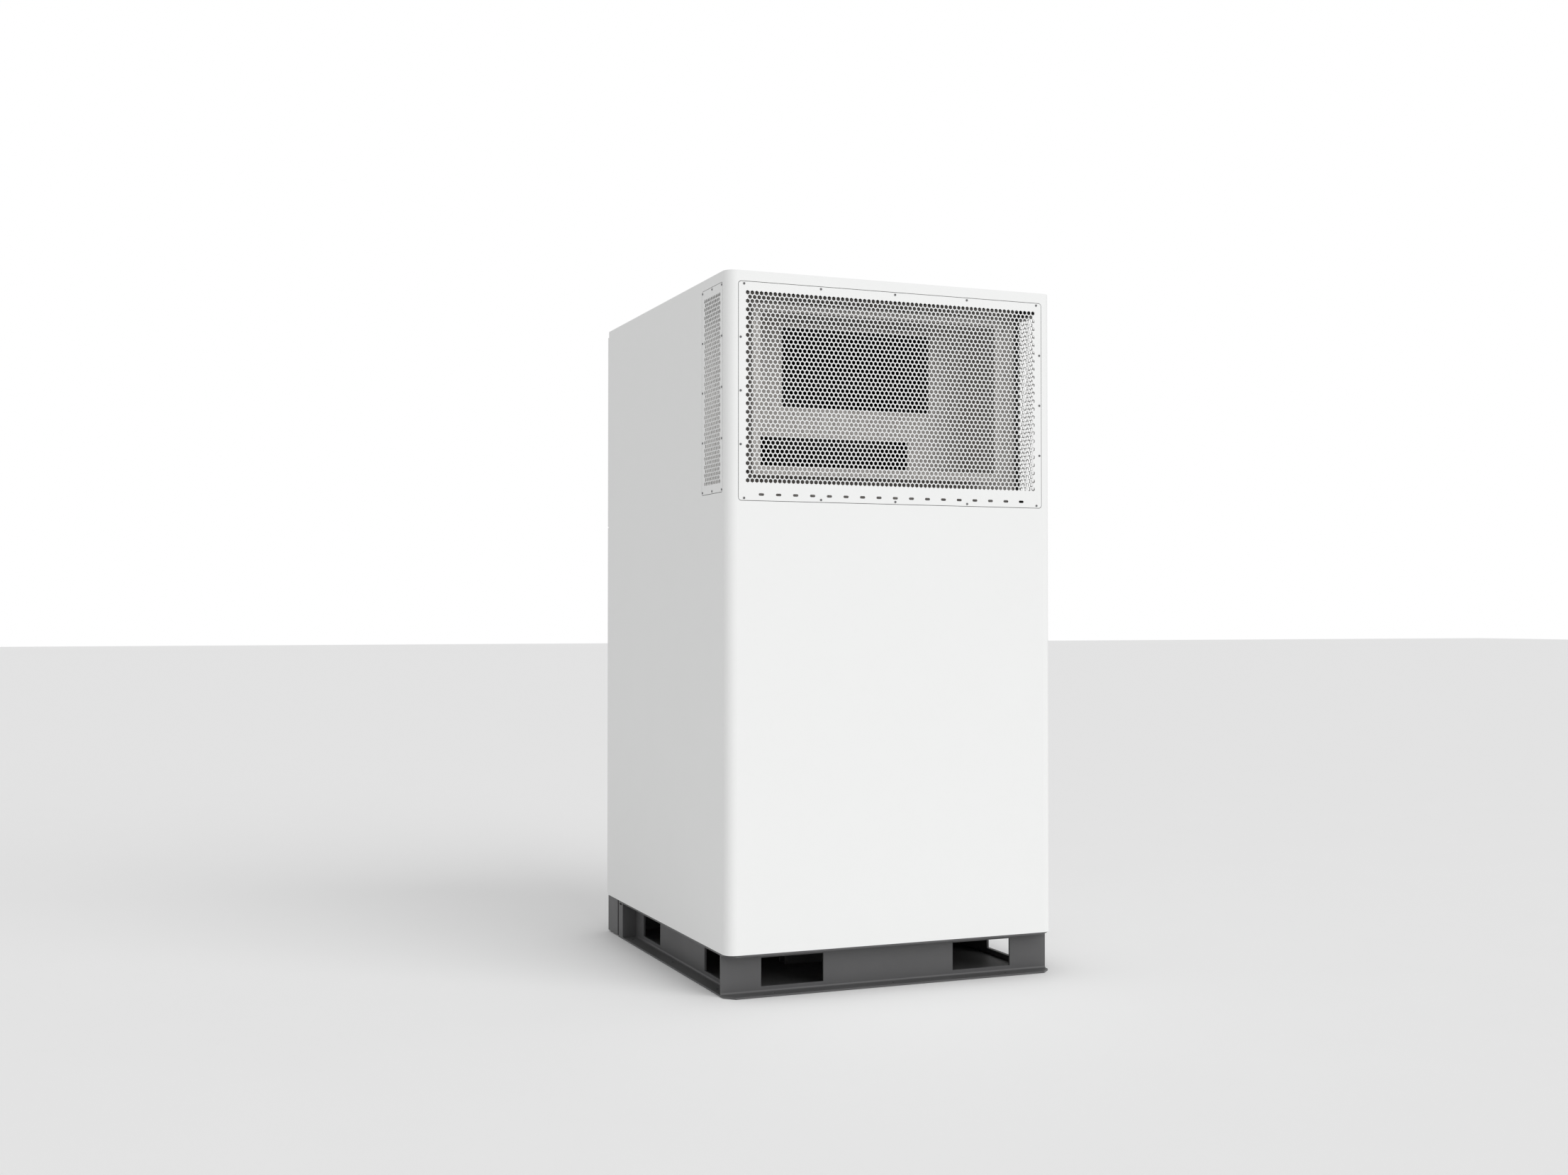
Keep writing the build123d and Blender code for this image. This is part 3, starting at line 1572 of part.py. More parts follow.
port_low = valve_z - valve_port
gas_z = port_low - gas_drop
crown_z = valve_z + discharge_crown
accumulator_port_z = accumulator_top + vessel_port
accumulator_crown_z = accumulator_top + accumulator_crown
suction_crown_z = accumulator_top + suction_crown
suction_drop_x = accumulator_x - accumulator_port_gap
with BuildPart() as gas_lines:
    add(
        pipe(
            [
                (discharge_x, machine_y, compressor_top + port_length),
                (discharge_x, machine_y, crown_z),
                (valve_x, machine_y, crown_z),
                (valve_x, machine_y, valve_z + valve_port),
            ],
            discharge_tube,
            gas_bend,
        )
    )
    add(
        pipe(
            [
                (valve_x + valve_port_pitch, machine_y, port_low),
                (valve_x + valve_port_pitch, machine_y, port_low - exchanger_drop),
                (exchanger_x, machine_y, port_low - exchanger_drop),
                (exchanger_x, machine_y, exchanger_top + exchanger_port),
            ],
            gas_tube,
            gas_bend,
        )
    )
    add(
        pipe(
            [
                (valve_x, machine_y, port_low),
                (valve_x, machine_y, accumulator_crown_z),
                (valve_x, vessel_y, accumulator_crown_z),
                (valve_x, vessel_y, accumulator_port_z),
            ],
            gas_tube,
            accumulator_bend,
        )
    )
    add(
        pipe(
            [
                (suction_drop_x, vessel_y, accumulator_port_z),
                (suction_drop_x, vessel_y, suction_crown_z),
                (suction_drop_x, machine_y, suction_crown_z),
                (suction_drop_x, machine_y, suction_z),
                (suction_x, machine_y, suction_z),
            ],
            gas_tube,
            gas_bend,
        )
    )
    add(
        pipe(
            [
                (valve_x - valve_port_pitch, machine_y, port_low),
                (valve_x - valve_port_pitch, machine_y, gas_z),
                (valve_x - valve_port_pitch, gas_riser_y, gas_z),
                (header_x, gas_riser_y, gas_z),
                (header_x, gas_riser_y, gas_joint_z),
                (header_x, gas_header_y - gas_stub, gas_joint_z),
            ],
            gas_tube,
            gas_bend,
        )
    )
save(gas_lines.part, "gas_lines")

liquid_back_y = front + liquid_back_place
outlet_port_x = receiver_x + port_gap
crossing_z = deck_bottom - deck_cross_drop
with BuildPart() as liquid_lines:
    add(
        pipe(
            [
                (exchanger_x, machine_y + exchanger_radius + liquid_port_reach, liquid_port_z),
                (exchanger_x, liquid_back_y, liquid_port_z),
                (outlet_port_x, liquid_back_y, liquid_port_z),
                (outlet_port_x, liquid_back_y, receiver_top + receiver_crown),
                (outlet_port_x, vessel_y, receiver_top + receiver_crown),
                (outlet_port_x, vessel_y, receiver_top + vessel_port),
            ],
            liquid_tube,
            liquid_bend,
        )
    )
    rod(
        (drier_x, vessel_y, receiver_top + vessel_port),
        (drier_x, vessel_y, drier_low - drier_port_reach),
        liquid_tube,
    )
    add(
        pipe(
            [
                (drier_x, vessel_y, drier_low + drier_height + drier_port_reach),
                (drier_x, vessel_y, crossing_z),
                (liquid_header_x, vessel_y, crossing_z),
                (liquid_header_x, vessel_y, liquid_bottom),
            ],
            liquid_tube,
            liquid_bend,
        )
    )
save(liquid_lines.part, "liquid_lines")

# Electrical box: an open tray that faces the lower door, with its gear on a rail.
box_low = deck_bottom - box_deck_gap - box_height
box_back = rear - box_back_gap
box_x_span = (box_x - box_width / 2, box_x + box_width / 2)
box_z_span = (box_low, box_low + box_height)
with BuildPart() as electrical_box:
    block(box_x_span, (box_back - box_depth, box_back - sheet), box_z_span)
    block(
        (box_x_span[0] + sheet, box_x_span[1] - sheet),
        (box_back - box_depth + sheet, box_back - sheet),
        (box_z_span[0] + sheet, box_z_span[1] - sheet),
        Mode.SUBTRACT,
    )
    block(
        (-inner_half, box_x_span[0]),
        (box_back - box_depth, box_back - box_depth + sheet),
        (box_z_span[0] + box_bracket_inset, box_z_span[1] - box_bracket_inset),
    )
save(electrical_box.part, "electrical_box")

with BuildPart() as electrical_cover:
    block(box_x_span, (box_back - sheet, box_back), box_z_span)
    with Locations(
        *[
            (x, box_back, z)
            for x in (box_x_span[0] + cover_screw_inset, box_x_span[1] - cover_screw_inset)
            for z in (box_z_span[0] + cover_screw_inset, box_z_span[1] - cover_screw_inset)
        ]
    ):
        Sphere(cover_screw_radius)
    with Locations((box_x, box_back, box_low + box_height - window_drop)):
        Box(window_width, window_depth, window_height)
save(electrical_cover.part, "electrical_cover")

with BuildPart() as electrical_gear:
    gear_back = box_back - box_depth + sheet
    rail_face = gear_back + gear_rail
    for rail_z in (box_low + gear_rail_low, box_low + gear_rail_high):
        block(
            (box_x - gear_rail_half, box_x + gear_rail_half),
            (gear_back, rail_face),
            (rail_z - gear_rail_height / 2, rail_z + gear_rail_height / 2),
        )
    for index in range(breaker_count):
        x = box_x - gear_start + index * breaker_pitch
        block(
            (x, x + breaker_width),
            (rail_face, rail_face + breaker_depth),
            (box_low + breaker_low, box_low + breaker_high),
        )
    for index in range(terminal_count):
        x = box_x - gear_start + index * terminal_pitch
        block(
            (x, x + terminal_block),
            (rail_face, rail_face + terminal_depth),
            (box_low + terminal_row_low, box_low + terminal_row_high),
        )
    block(
        (box_x + supply_low_x, box_x + supply_high_x),
        (rail_face, rail_face + supply_depth),
        (box_low + supply_low, box_low + supply_high),
    )
save(electrical_gear.part, "electrical_gear")

# ================================================================== doors
door_x = (-half_width + door_edge_inset, hinge_x - hinge_gap / 2)
post_x = (hinge_x + hinge_gap / 2, half_width - door_edge_inset)
door_back = rear + door_seat_gap
lower_door_z = (base_height + door_bottom_rise, door_split - door_gap / 2)
upper_door_z = (door_split + door_gap / 2, overall_height - door_top_drop)
latch_x = -inner_half + latch_inset

lower_latches = (lower_door_z[0] + latch_end_inset, lower_door_z[1] - latch_end_inset)
upper_latches = ((upper_door_z[0] + upper_door_z[1]) / 2,)


with BuildPart() as hinge_post:
    block(post_x, (rear, door_face), (lower_door_z[0], upper_door_z[1]))
    block(
        (post_x[0] + sheet, post_x[1] - sheet),
        (rear, door_face - sheet),
        (lower_door_z[0] + sheet, upper_door_z[1] - sheet),
        Mode.SUBTRACT,
    )
save(hinge_post.part, "hinge_post")


def door_pan(z_span, latches):
    """A folded door pan, open at the back, with a hole for each latch."""
    with BuildPart() as pan:
        block(door_x, (door_back, door_face), z_span)
        block(
            (door_x[0] + sheet, door_x[1] - sheet),
            (door_back, door_face - sheet),
            (z_span[0] + sheet, z_span[1] - sheet),
            Mode.SUBTRACT,
        )
        for z in latches:
            rod(
                (latch_x, door_back, z),
                (latch_x, door_face + overcut, z),
                latch_radius + latch_hole_gap,
                Mode.SUBTRACT,
            )
    return pan.part


intake_half = half_width - intake_margin - intake_side_inset
intake_x = (-intake_half, intake_half)
intake_z = (upper_door_z[0] + intake_margin, upper_door_z[1] - intake_margin)
with BuildPart() as upper_door:
    add(door_pan(upper_door_z, upper_latches))
    block(intake_x, (door_face - 2 * sheet, door_face + overcut), intake_z, Mode.SUBTRACT)
save(upper_door.part, "upper_door")

with BuildPart() as intake_grille:
    with BuildSketch(front_plane(door_face - sheet)):
        with Locations((0, (intake_z[0] + intake_z[1]) / 2)):
            Rectangle(
                intake_x[1] - intake_x[0] + 2 * intake_lap, intake_z[1] - intake_z[0] + 2 * intake_lap
            )
        field = hex_field(
            (intake_x[0] + intake_edge, intake_z[0] + intake_edge),
            (intake_x[1] - intake_edge, intake_z[1] - intake_edge),
        )
        with Locations(*field):
            RegularPolygon(hex_flats / 2, 6, major_radius=False, rotation=30, mode=Mode.SUBTRACT)
    extrude(amount=intake_plate)
save(intake_grille.part, "intake_grille")

isolator_z = lower_door_z[1] - isolator_drop
with BuildPart() as lower_door:
    add(door_pan(lower_door_z, lower_latches))
    rod(
        (isolator_x, door_back, isolator_z),
        (isolator_x, door_face + overcut, isolator_z),
        isolator_shaft + running_gap,
        Mode.SUBTRACT,
    )
save(lower_door.part, "lower_door")

with BuildPart() as isolator:
    with BuildSketch(front_plane(door_face)):
        with Locations((isolator_x, isolator_z)):
            RectangleRounded(isolator_plate, isolator_plate, isolator_plate_corner)
            Circle(isolator_shaft + running_gap, mode=Mode.SUBTRACT)
    extrude(amount=-isolator_plate_height)
    block(
        (isolator_x - switch_half, isolator_x + switch_half),
        (door_face - switch_depth, door_face - sheet),
        (isolator_z - switch_half_height, isolator_z + switch_half_height),
    )
    rod(
        (isolator_x, door_face - switch_bore, isolator_z),
        (isolator_x, door_face + overcut, isolator_z),
        isolator_shaft + running_gap,
        Mode.SUBTRACT,
    )
save(isolator.part, "isolator_switch")

knob_low = door_face + isolator_plate_height + knob_gap
with BuildPart() as isolator_knob:
    with BuildSketch(front_plane(knob_low)):
        with Locations((isolator_x, isolator_z)):
            Circle(isolator_knob_radius)
    extrude(amount=-knob_base)
    with BuildSketch(front_plane(knob_low + knob_base)):
        with Locations((isolator_x, isolator_z)):
            SlotOverall(2 * (isolator_knob_radius - knob_grip_inset), knob_grip, rotation=90)
    extrude(amount=-(door_face + knob_reach - knob_low - knob_base))
    rod(
        (isolator_x, door_face - knob_shaft, isolator_z),
        (isolator_x, knob_low + weld_lap, isolator_z),
        isolator_shaft,
    )
save(isolator_knob.part, "isolator_knob")


def latch(z):
    """A quarter-turn latch: wing grip outside, round core, and a cam that hangs down when free."""
    collar_low_y = door_face + collar_gap
    cam_front = rear - sheet - cam_gap - cam_plate
    with BuildPart() as turn:
        rod((latch_x, collar_low_y, z), (latch_x, collar_low_y + collar_plate, z), latch_collar)
        with BuildSketch(front_plane(collar_low_y + collar_plate)):
            with Locations((latch_x, z)):
                SlotOverall(2 * (latch_collar + grip_reach), grip_width, rotation=90)
        extrude(amount=-grip_height)
        rod((latch_x, cam_front, z), (latch_x, collar_low_y, z), latch_radius)
        block(
            (latch_x - latch_radius + cam_side, latch_x + latch_radius - cam_side),
            (cam_front, cam_front + cam_plate),
            (z - cam_reach, z + latch_radius),
        )
    return turn.part


latch_places = {
    "latch_lower_bottom": lower_latches[0],
    "latch_lower_top": lower_latches[1],
    "latch_upper": upper_latches[0],
}
for latch_name, latch_z in latch_places.items():
    save(latch(latch_z), latch_name)

# Hinges: each has a fixed leaf with its pin between two knuckles, and a door leaf with one knuckle.
hinge_places = [
    lower_door_z[0] + hinge_inset,
    (lower_door_z[0] + lower_door_z[1]) / 2,
    lower_door_z[1] - hinge_inset,
    upper_door_z[0] + hinge_inset,
    upper_door_z[1] - hinge_inset,
]
third = leaf_length / 3


def door_leaf(z):
    """The moving leaf: one middle knuckle and a plate on the door's face."""
    with BuildPart() as leaf:
        low = z - third / 2 + knuckle_gap
        high = z + third / 2 - knuckle_gap
        block(
            (hinge_x - hinge_gap / 2 - leaf_width, hinge_x),
            (door_face, door_face + leaf_plate),
            (low, high),
        )
        block(
            (hinge_x - hinge_gap / 2 - leaf_width, hinge_x - knuckle_radius - leaf_clearance),
            (door_face, door_face + leaf_plate),
            (z - leaf_length / 2, z + leaf_length / 2),
        )
        rod((hinge_x, hinge_y, low), (hinge_x, hinge_y, high), knuckle_radius)
        rod(
            (hinge_x, hinge_y, low - overcut),
            (hinge_x, hinge_y, high + overcut),
            hinge_pin_radius + running_gap,
            Mode.SUBTRACT,
        )
    return leaf.part


with BuildPart() as hinge_fixed:
    for z in hinge_places:
        for low in (z - leaf_length / 2, z + third / 2):
            rod((hinge_x, hinge_y, low), (hinge_x, hinge_y, low + third), knuckle_radius)
            block(
                (hinge_x, hinge_x + hinge_gap / 2 + leaf_width),
                (door_face, door_face + leaf_plate),
                (low, low + third),
            )
        block(
            (hinge_x + knuckle_radius + leaf_clearance, hinge_x + hinge_gap / 2 + leaf_width),
            (door_face, door_face + leaf_plate),
            (z - third / 2, z + third / 2),
        )
        rod(
            (hinge_x, hinge_y, z - leaf_length / 2),
            (hinge_x, hinge_y, z + leaf_length / 2),
            hinge_pin_radius,
        )
save(hinge_fixed.part, "hinge_leaves_fixed")

with BuildPart() as hinge_lower:
    for z in hinge_places[:3]:
        add(door_leaf(z))
save(hinge_lower.part, "hinge_leaves_lower")

with BuildPart() as hinge_upper:
    for z in hinge_places[3:]:
        add(door_leaf(z))
save(hinge_upper.part, "hinge_leaves_upper")
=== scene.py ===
import math

import bmesh
import bpy
from mathutils import Matrix, Vector


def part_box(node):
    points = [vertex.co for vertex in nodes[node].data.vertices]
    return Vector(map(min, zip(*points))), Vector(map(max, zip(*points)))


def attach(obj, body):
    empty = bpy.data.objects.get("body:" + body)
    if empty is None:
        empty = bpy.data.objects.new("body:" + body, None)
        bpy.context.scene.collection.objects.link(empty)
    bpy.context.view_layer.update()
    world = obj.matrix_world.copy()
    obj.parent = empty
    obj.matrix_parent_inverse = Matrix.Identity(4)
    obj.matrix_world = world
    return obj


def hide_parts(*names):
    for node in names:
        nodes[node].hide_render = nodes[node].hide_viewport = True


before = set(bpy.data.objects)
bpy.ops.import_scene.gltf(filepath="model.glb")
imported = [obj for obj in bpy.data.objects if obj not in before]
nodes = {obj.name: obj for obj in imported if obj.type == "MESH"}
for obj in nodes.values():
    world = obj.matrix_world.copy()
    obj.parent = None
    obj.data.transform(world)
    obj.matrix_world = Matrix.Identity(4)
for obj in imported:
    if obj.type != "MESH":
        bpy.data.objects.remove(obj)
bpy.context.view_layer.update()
print("frame loaded,", len(nodes), "nodes")

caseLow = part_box("casing_wrap")[0]


# node helpers, used by the shader groups, the materials and the geometry trees

def addNode(tree, kind, place=(0, 0), **settings):
    node = tree.nodes.new(kind)
    node.location = place
    for name, value in settings.items():
        setattr(node, name, value)
    return node


def join(tree, start, startSocket, end, endSocket):
    tree.links.new(start.outputs[startSocket], end.inputs[endSocket])


def feed(tree, value, socket):
    # sets a socket to a number, or links another node's output to it
    if isinstance(value, (int, float)):
        socket.default_value = value
    else:
        tree.links.new(value, socket)


def mixColors(tree, factor, first, second, target):
    # blends two colours and sends the result to the group's colour output
    blend = addNode(tree, "ShaderNodeMix", (300, 0), data_type="RGBA")
    tree.links.new(factor, blend.inputs["Factor"])
    tree.links.new(first, blend.inputs[6])
    tree.links.new(second, blend.inputs[7])
    tree.links.new(blend.outputs[2], target.inputs["Color"])


def addSocket(tree, name, direction, kind, default=None):
    socket = tree.interface.new_socket(name=name, in_out=direction, socket_type=kind)
    if default is not None:
        socket.default_value = default
    return socket


# shared shader effects

def grainGroup():
    # fine surface texture: a height for the bump and a mask that varies the gloss
    group = bpy.data.node_groups.new("surfaceGrain", "ShaderNodeTree")
    addSocket(group, "Size", "INPUT", "NodeSocketFloat", 600.0)
    addSocket(group, "Cloud Size", "INPUT", "NodeSocketFloat", 3.0)
    addSocket(group, "Roughness Low", "INPUT", "NodeSocketFloat", 0.4)
    addSocket(group, "Roughness High", "INPUT", "NodeSocketFloat", 0.5)
    addSocket(group, "Height", "OUTPUT", "NodeSocketFloat")
    addSocket(group, "Roughness", "OUTPUT", "NodeSocketFloat")
    source = addNode(group, "NodeGroupInput", (-900, 0))
    target = addNode(group, "NodeGroupOutput", (500, 0))
    coords = addNode(group, "ShaderNodeTexCoord", (-900, 300))
    fine = addNode(group, "ShaderNodeTexNoise", (-600, 200))
    fine.inputs["Detail"].default_value = 3.0
    cloud = addNode(group, "ShaderNodeTexNoise", (-600, -150))
    cloud.inputs["Detail"].default_value = 4.0
    spread = addNode(group, "ShaderNodeMapRange", (0, -150))
    spread.inputs["From Min"].default_value = 0.3
    spread.inputs["From Max"].default_value = 0.7
    join(group, coords, "Object", fine, "Vector")
    join(group, coords, "Object", cloud, "Vector")
    join(group, source, "Size", fine, "Scale")
    join(group, source, "Cloud Size", cloud, "Scale")
    join(group, cloud, "Fac", spread, "Value")
    join(group, source, "Roughness Low", spread, "To Min")
    join(group, source, "Roughness High", spread, "To Max")
    join(group, fine, "Fac", target, "Height")
    join(group, spread, "Result", target, "Roughness")
    return group


def dustGroup():
    # colour with a thin pale dust in patches that gathers mostly on upward faces
    group = bpy.data.node_groups.new("settledDust", "ShaderNodeTree")
    addSocket(group, "Color", "INPUT", "NodeSocketColor", (0.5, 0.5, 0.5, 1))
    addSocket(group, "Dust Color", "INPUT", "NodeSocketColor", (0.55, 0.52, 0.48, 1))
    addSocket(group, "Amount", "INPUT", "NodeSocketFloat", 0.1)
    addSocket(group, "Patch Size", "INPUT", "NodeSocketFloat", 9.0)
    addSocket(group, "Color", "OUTPUT", "NodeSocketColor")
    source = addNode(group, "NodeGroupInput", (-1100, 0))
    target = addNode(group, "NodeGroupOutput", (600, 0))
    coords = addNode(group, "ShaderNodeTexCoord", (-1100, 300))
    patches = addNode(group, "ShaderNodeTexNoise", (-800, 300))
    patches.inputs["Detail"].default_value = 5.0
    facing = addNode(group, "ShaderNodeNewGeometry", (-1100, -300))
    split = addNode(group, "ShaderNodeSeparateXYZ", (-800, -300))
    upward = addNode(group, "ShaderNodeMapRange", (-550, -300))
    upward.inputs["From Min"].default_value = -0.4
    upward.inputs["To Min"].default_value = 0.25
    contrast = addNode(group, "ShaderNodeMapRange", (-550, 300))
    contrast.inputs["From Min"].default_value = 0.35
    contrast.inputs["From Max"].default_value = 0.75
    both = addNode(group, "ShaderNodeMath", (-250, 100), operation="MULTIPLY")
    scaled = addNode(group, "ShaderNodeMath", (0, 100), operation="MULTIPLY")
    join(group, coords, "Object", patches, "Vector")
    join(group, source, "Patch Size", patches, "Scale")
    join(group, patches, "Fac", contrast, "Value")
    join(group, facing, "Normal", split, "Vector")
    join(group, split, "Z", upward, "Value")
    join(group, contrast, "Result", both, 0)
    join(group, upward, "Result", both, 1)
    join(group, both, "Value", scaled, 0)
    join(group, source, "Amount", scaled, 1)
    mixColors(group, scaled.outputs["Value"], source.outputs["Color"], source.outputs["Dust Color"], target)
    return group


def streakGroup():
    # drawn or brushed metal: long fine streaks along one axis
    group = bpy.data.node_groups.new("drawnStreaks", "ShaderNodeTree")
    addSocket(group, "Stretch", "INPUT", "NodeSocketVector", (400.0, 400.0, 6.0))
    addSocket(group, "Dark", "INPUT", "NodeSocketColor", (0.4, 0.4, 0.4, 1))
    addSocket(group, "Light", "INPUT", "NodeSocketColor", (0.6, 0.6, 0.6, 1))
    addSocket(group, "Color", "OUTPUT", "NodeSocketColor")
    addSocket(group, "Height", "OUTPUT", "NodeSocketFloat")
    source = addNode(group, "NodeGroupInput", (-900, 0))
    target = addNode(group, "NodeGroupOutput", (500, 0))
    coords = addNode(group, "ShaderNodeTexCoord", (-900, 300))
    scale = addNode(group, "ShaderNodeVectorMath", (-650, 200), operation="MULTIPLY")
    noise = addNode(group, "ShaderNodeTexNoise", (-400, 200))
    noise.inputs["Scale"].default_value = 1.0
    noise.inputs["Detail"].default_value = 3.0
    join(group, coords, "Object", scale, 0)
    join(group, source, "Stretch", scale, 1)
    join(group, scale, "Vector", noise, "Vector")
    mixColors(group, noise.outputs["Fac"], source.outputs["Dark"], source.outputs["Light"], target)
    join(group, noise, "Fac", target, "Height")
    return group


def spangleGroup():
    # the crystal flowers of hot-dip zinc
    group = bpy.data.node_groups.new("zincSpangle", "ShaderNodeTree")
    addSocket(group, "Crystal Size", "INPUT", "NodeSocketFloat", 90.0)
    addSocket(group, "Dark", "INPUT", "NodeSocketColor", (0.5, 0.48, 0.46, 1))
    addSocket(group, "Light", "INPUT", "NodeSocketColor", (0.66, 0.64, 0.62, 1))
    addSocket(group, "Color", "OUTPUT", "NodeSocketColor")
    source = addNode(group, "NodeGroupInput", (-900, 0))
    target = addNode(group, "NodeGroupOutput", (500, 0))
    coords = addNode(group, "ShaderNodeTexCoord", (-900, 300))
    crystals = addNode(group, "ShaderNodeTexVoronoi", (-600, 200))
    tint = addNode(group, "ShaderNodeSeparateColor", (-350, 200))
    join(group, coords, "Object", crystals, "Vector")
    join(group, source, "Crystal Size", crystals, "Scale")
    join(group, crystals, "Color", tint, "Color")
    mixColors(group, tint.outputs["Red"], source.outputs["Dark"], source.outputs["Light"], target)
    return group


grain = grainGroup()
dust = dustGroup()
streaks = streakGroup()
spangle = spangleGroup()
print("shader groups built")


def placeGroup(tree, group, place, **values):
    node = addNode(tree, "ShaderNodeGroup", place, node_tree=group)
    for name, value in values.items():
        node.inputs[name.replace("_", " ")].default_value = value
    return node


def bareMaterial(name, metallic=0.0):
    material = bpy.data.materials.new(name)
    material.use_nodes = True
    shader = material.node_tree.nodes["Principled BSDF"]
    shader.inputs["Metallic"].default_value = metallic
    return material, material.node_tree, shader


def bumpFrom(tree, shader, source, socket, strength, distance):
    bump = addNode(tree, "ShaderNodeBump", (-250, -350))
    bump.inputs["Strength"].default_value = strength
    bump.inputs["Distance"].default_value = distance
    join(tree, source, socket, bump, "Height")
    join(tree, bump, "Normal", shader, "Normal")


def coatedPaint(name, color, dustColor, amount, size, low, high, strength):
    # powder coat, enamel or moulded plastic: plain colour, fine texture, a little dust
    material, tree, shader = bareMaterial(name)
    texture = placeGroup(tree, grain, (-700, -250), Size=size, Roughness_Low=low, Roughness_High=high)
    film = placeGroup(tree, dust, (-700, 150), Color=color, Dust_Color=dustColor, Amount=amount)
    join(tree, film, "Color", shader, "Base Color")
    join(tree, texture, "Roughness", shader, "Roughness")
    bumpFrom(tree, shader, texture, "Height", strength, 0.0004)
    return material


def zincSheet(name, dark, light, crystal, dusty=0.25):
    material, tree, shader = bareMaterial(name, 0.55)
    flowers = placeGroup(tree, spangle, (-700, 150), Crystal_Size=crystal, Dark=dark, Light=light)
    texture = placeGroup(tree, grain, (-700, -250), Size=900.0, Roughness_Low=0.42, Roughness_High=0.58)
    film = placeGroup(tree, dust, (-400, 150), Dust_Color=(0.5, 0.47, 0.44, 1), Amount=dusty)
    join(tree, flowers, "Color", film, "Color")
    join(tree, film, "Color", shader, "Base Color")
    join(tree, texture, "Roughness", shader, "Roughness")
    bumpFrom(tree, shader, texture, "Height", 0.08, 0.0003)
    return material


def drawnMetal(name, dark, light, stretch, low, high):
    material, tree, shader = bareMaterial(name, 1.0)
    lines = placeGroup(tree, streaks, (-700, 150), Stretch=stretch, Dark=dark, Light=light)
    texture = placeGroup(tree, grain, (-700, -250), Size=300.0, Cloud_Size=25.0,
                         Roughness_Low=low, Roughness_High=high)
    join(tree, lines, "Color", shader, "Base Color")
    join(tree, texture, "Roughness", shader, "Roughness")
    bumpFrom(tree, shader, lines, "Height", 0.05, 0.0002)
    return material


def pleatedFabric(name):
    material, tree, shader = bareMaterial(name)
    shader.inputs["Sheen Weight"].default_value = 0.3
    coords = addNode(tree, "ShaderNodeTexCoord", (-1000, 0))
    fibres = addNode(tree, "ShaderNodeTexVoronoi", (-700, 0), feature="DISTANCE_TO_EDGE")
    fibres.inputs["Scale"].default_value = 900.0
    film = placeGroup(tree, dust, (-500, 250), Color=(0.78, 0.79, 0.78, 1),
                      Dust_Color=(0.42, 0.40, 0.36, 1), Amount=0.3, Patch_Size=5.0)
    join(tree, coords, "Object", fibres, "Vector")
    join(tree, film, "Color", shader, "Base Color")
    shader.inputs["Roughness"].default_value = 0.95
    bumpFrom(tree, shader, fibres, "Distance", 0.4, 0.0005)
    return material


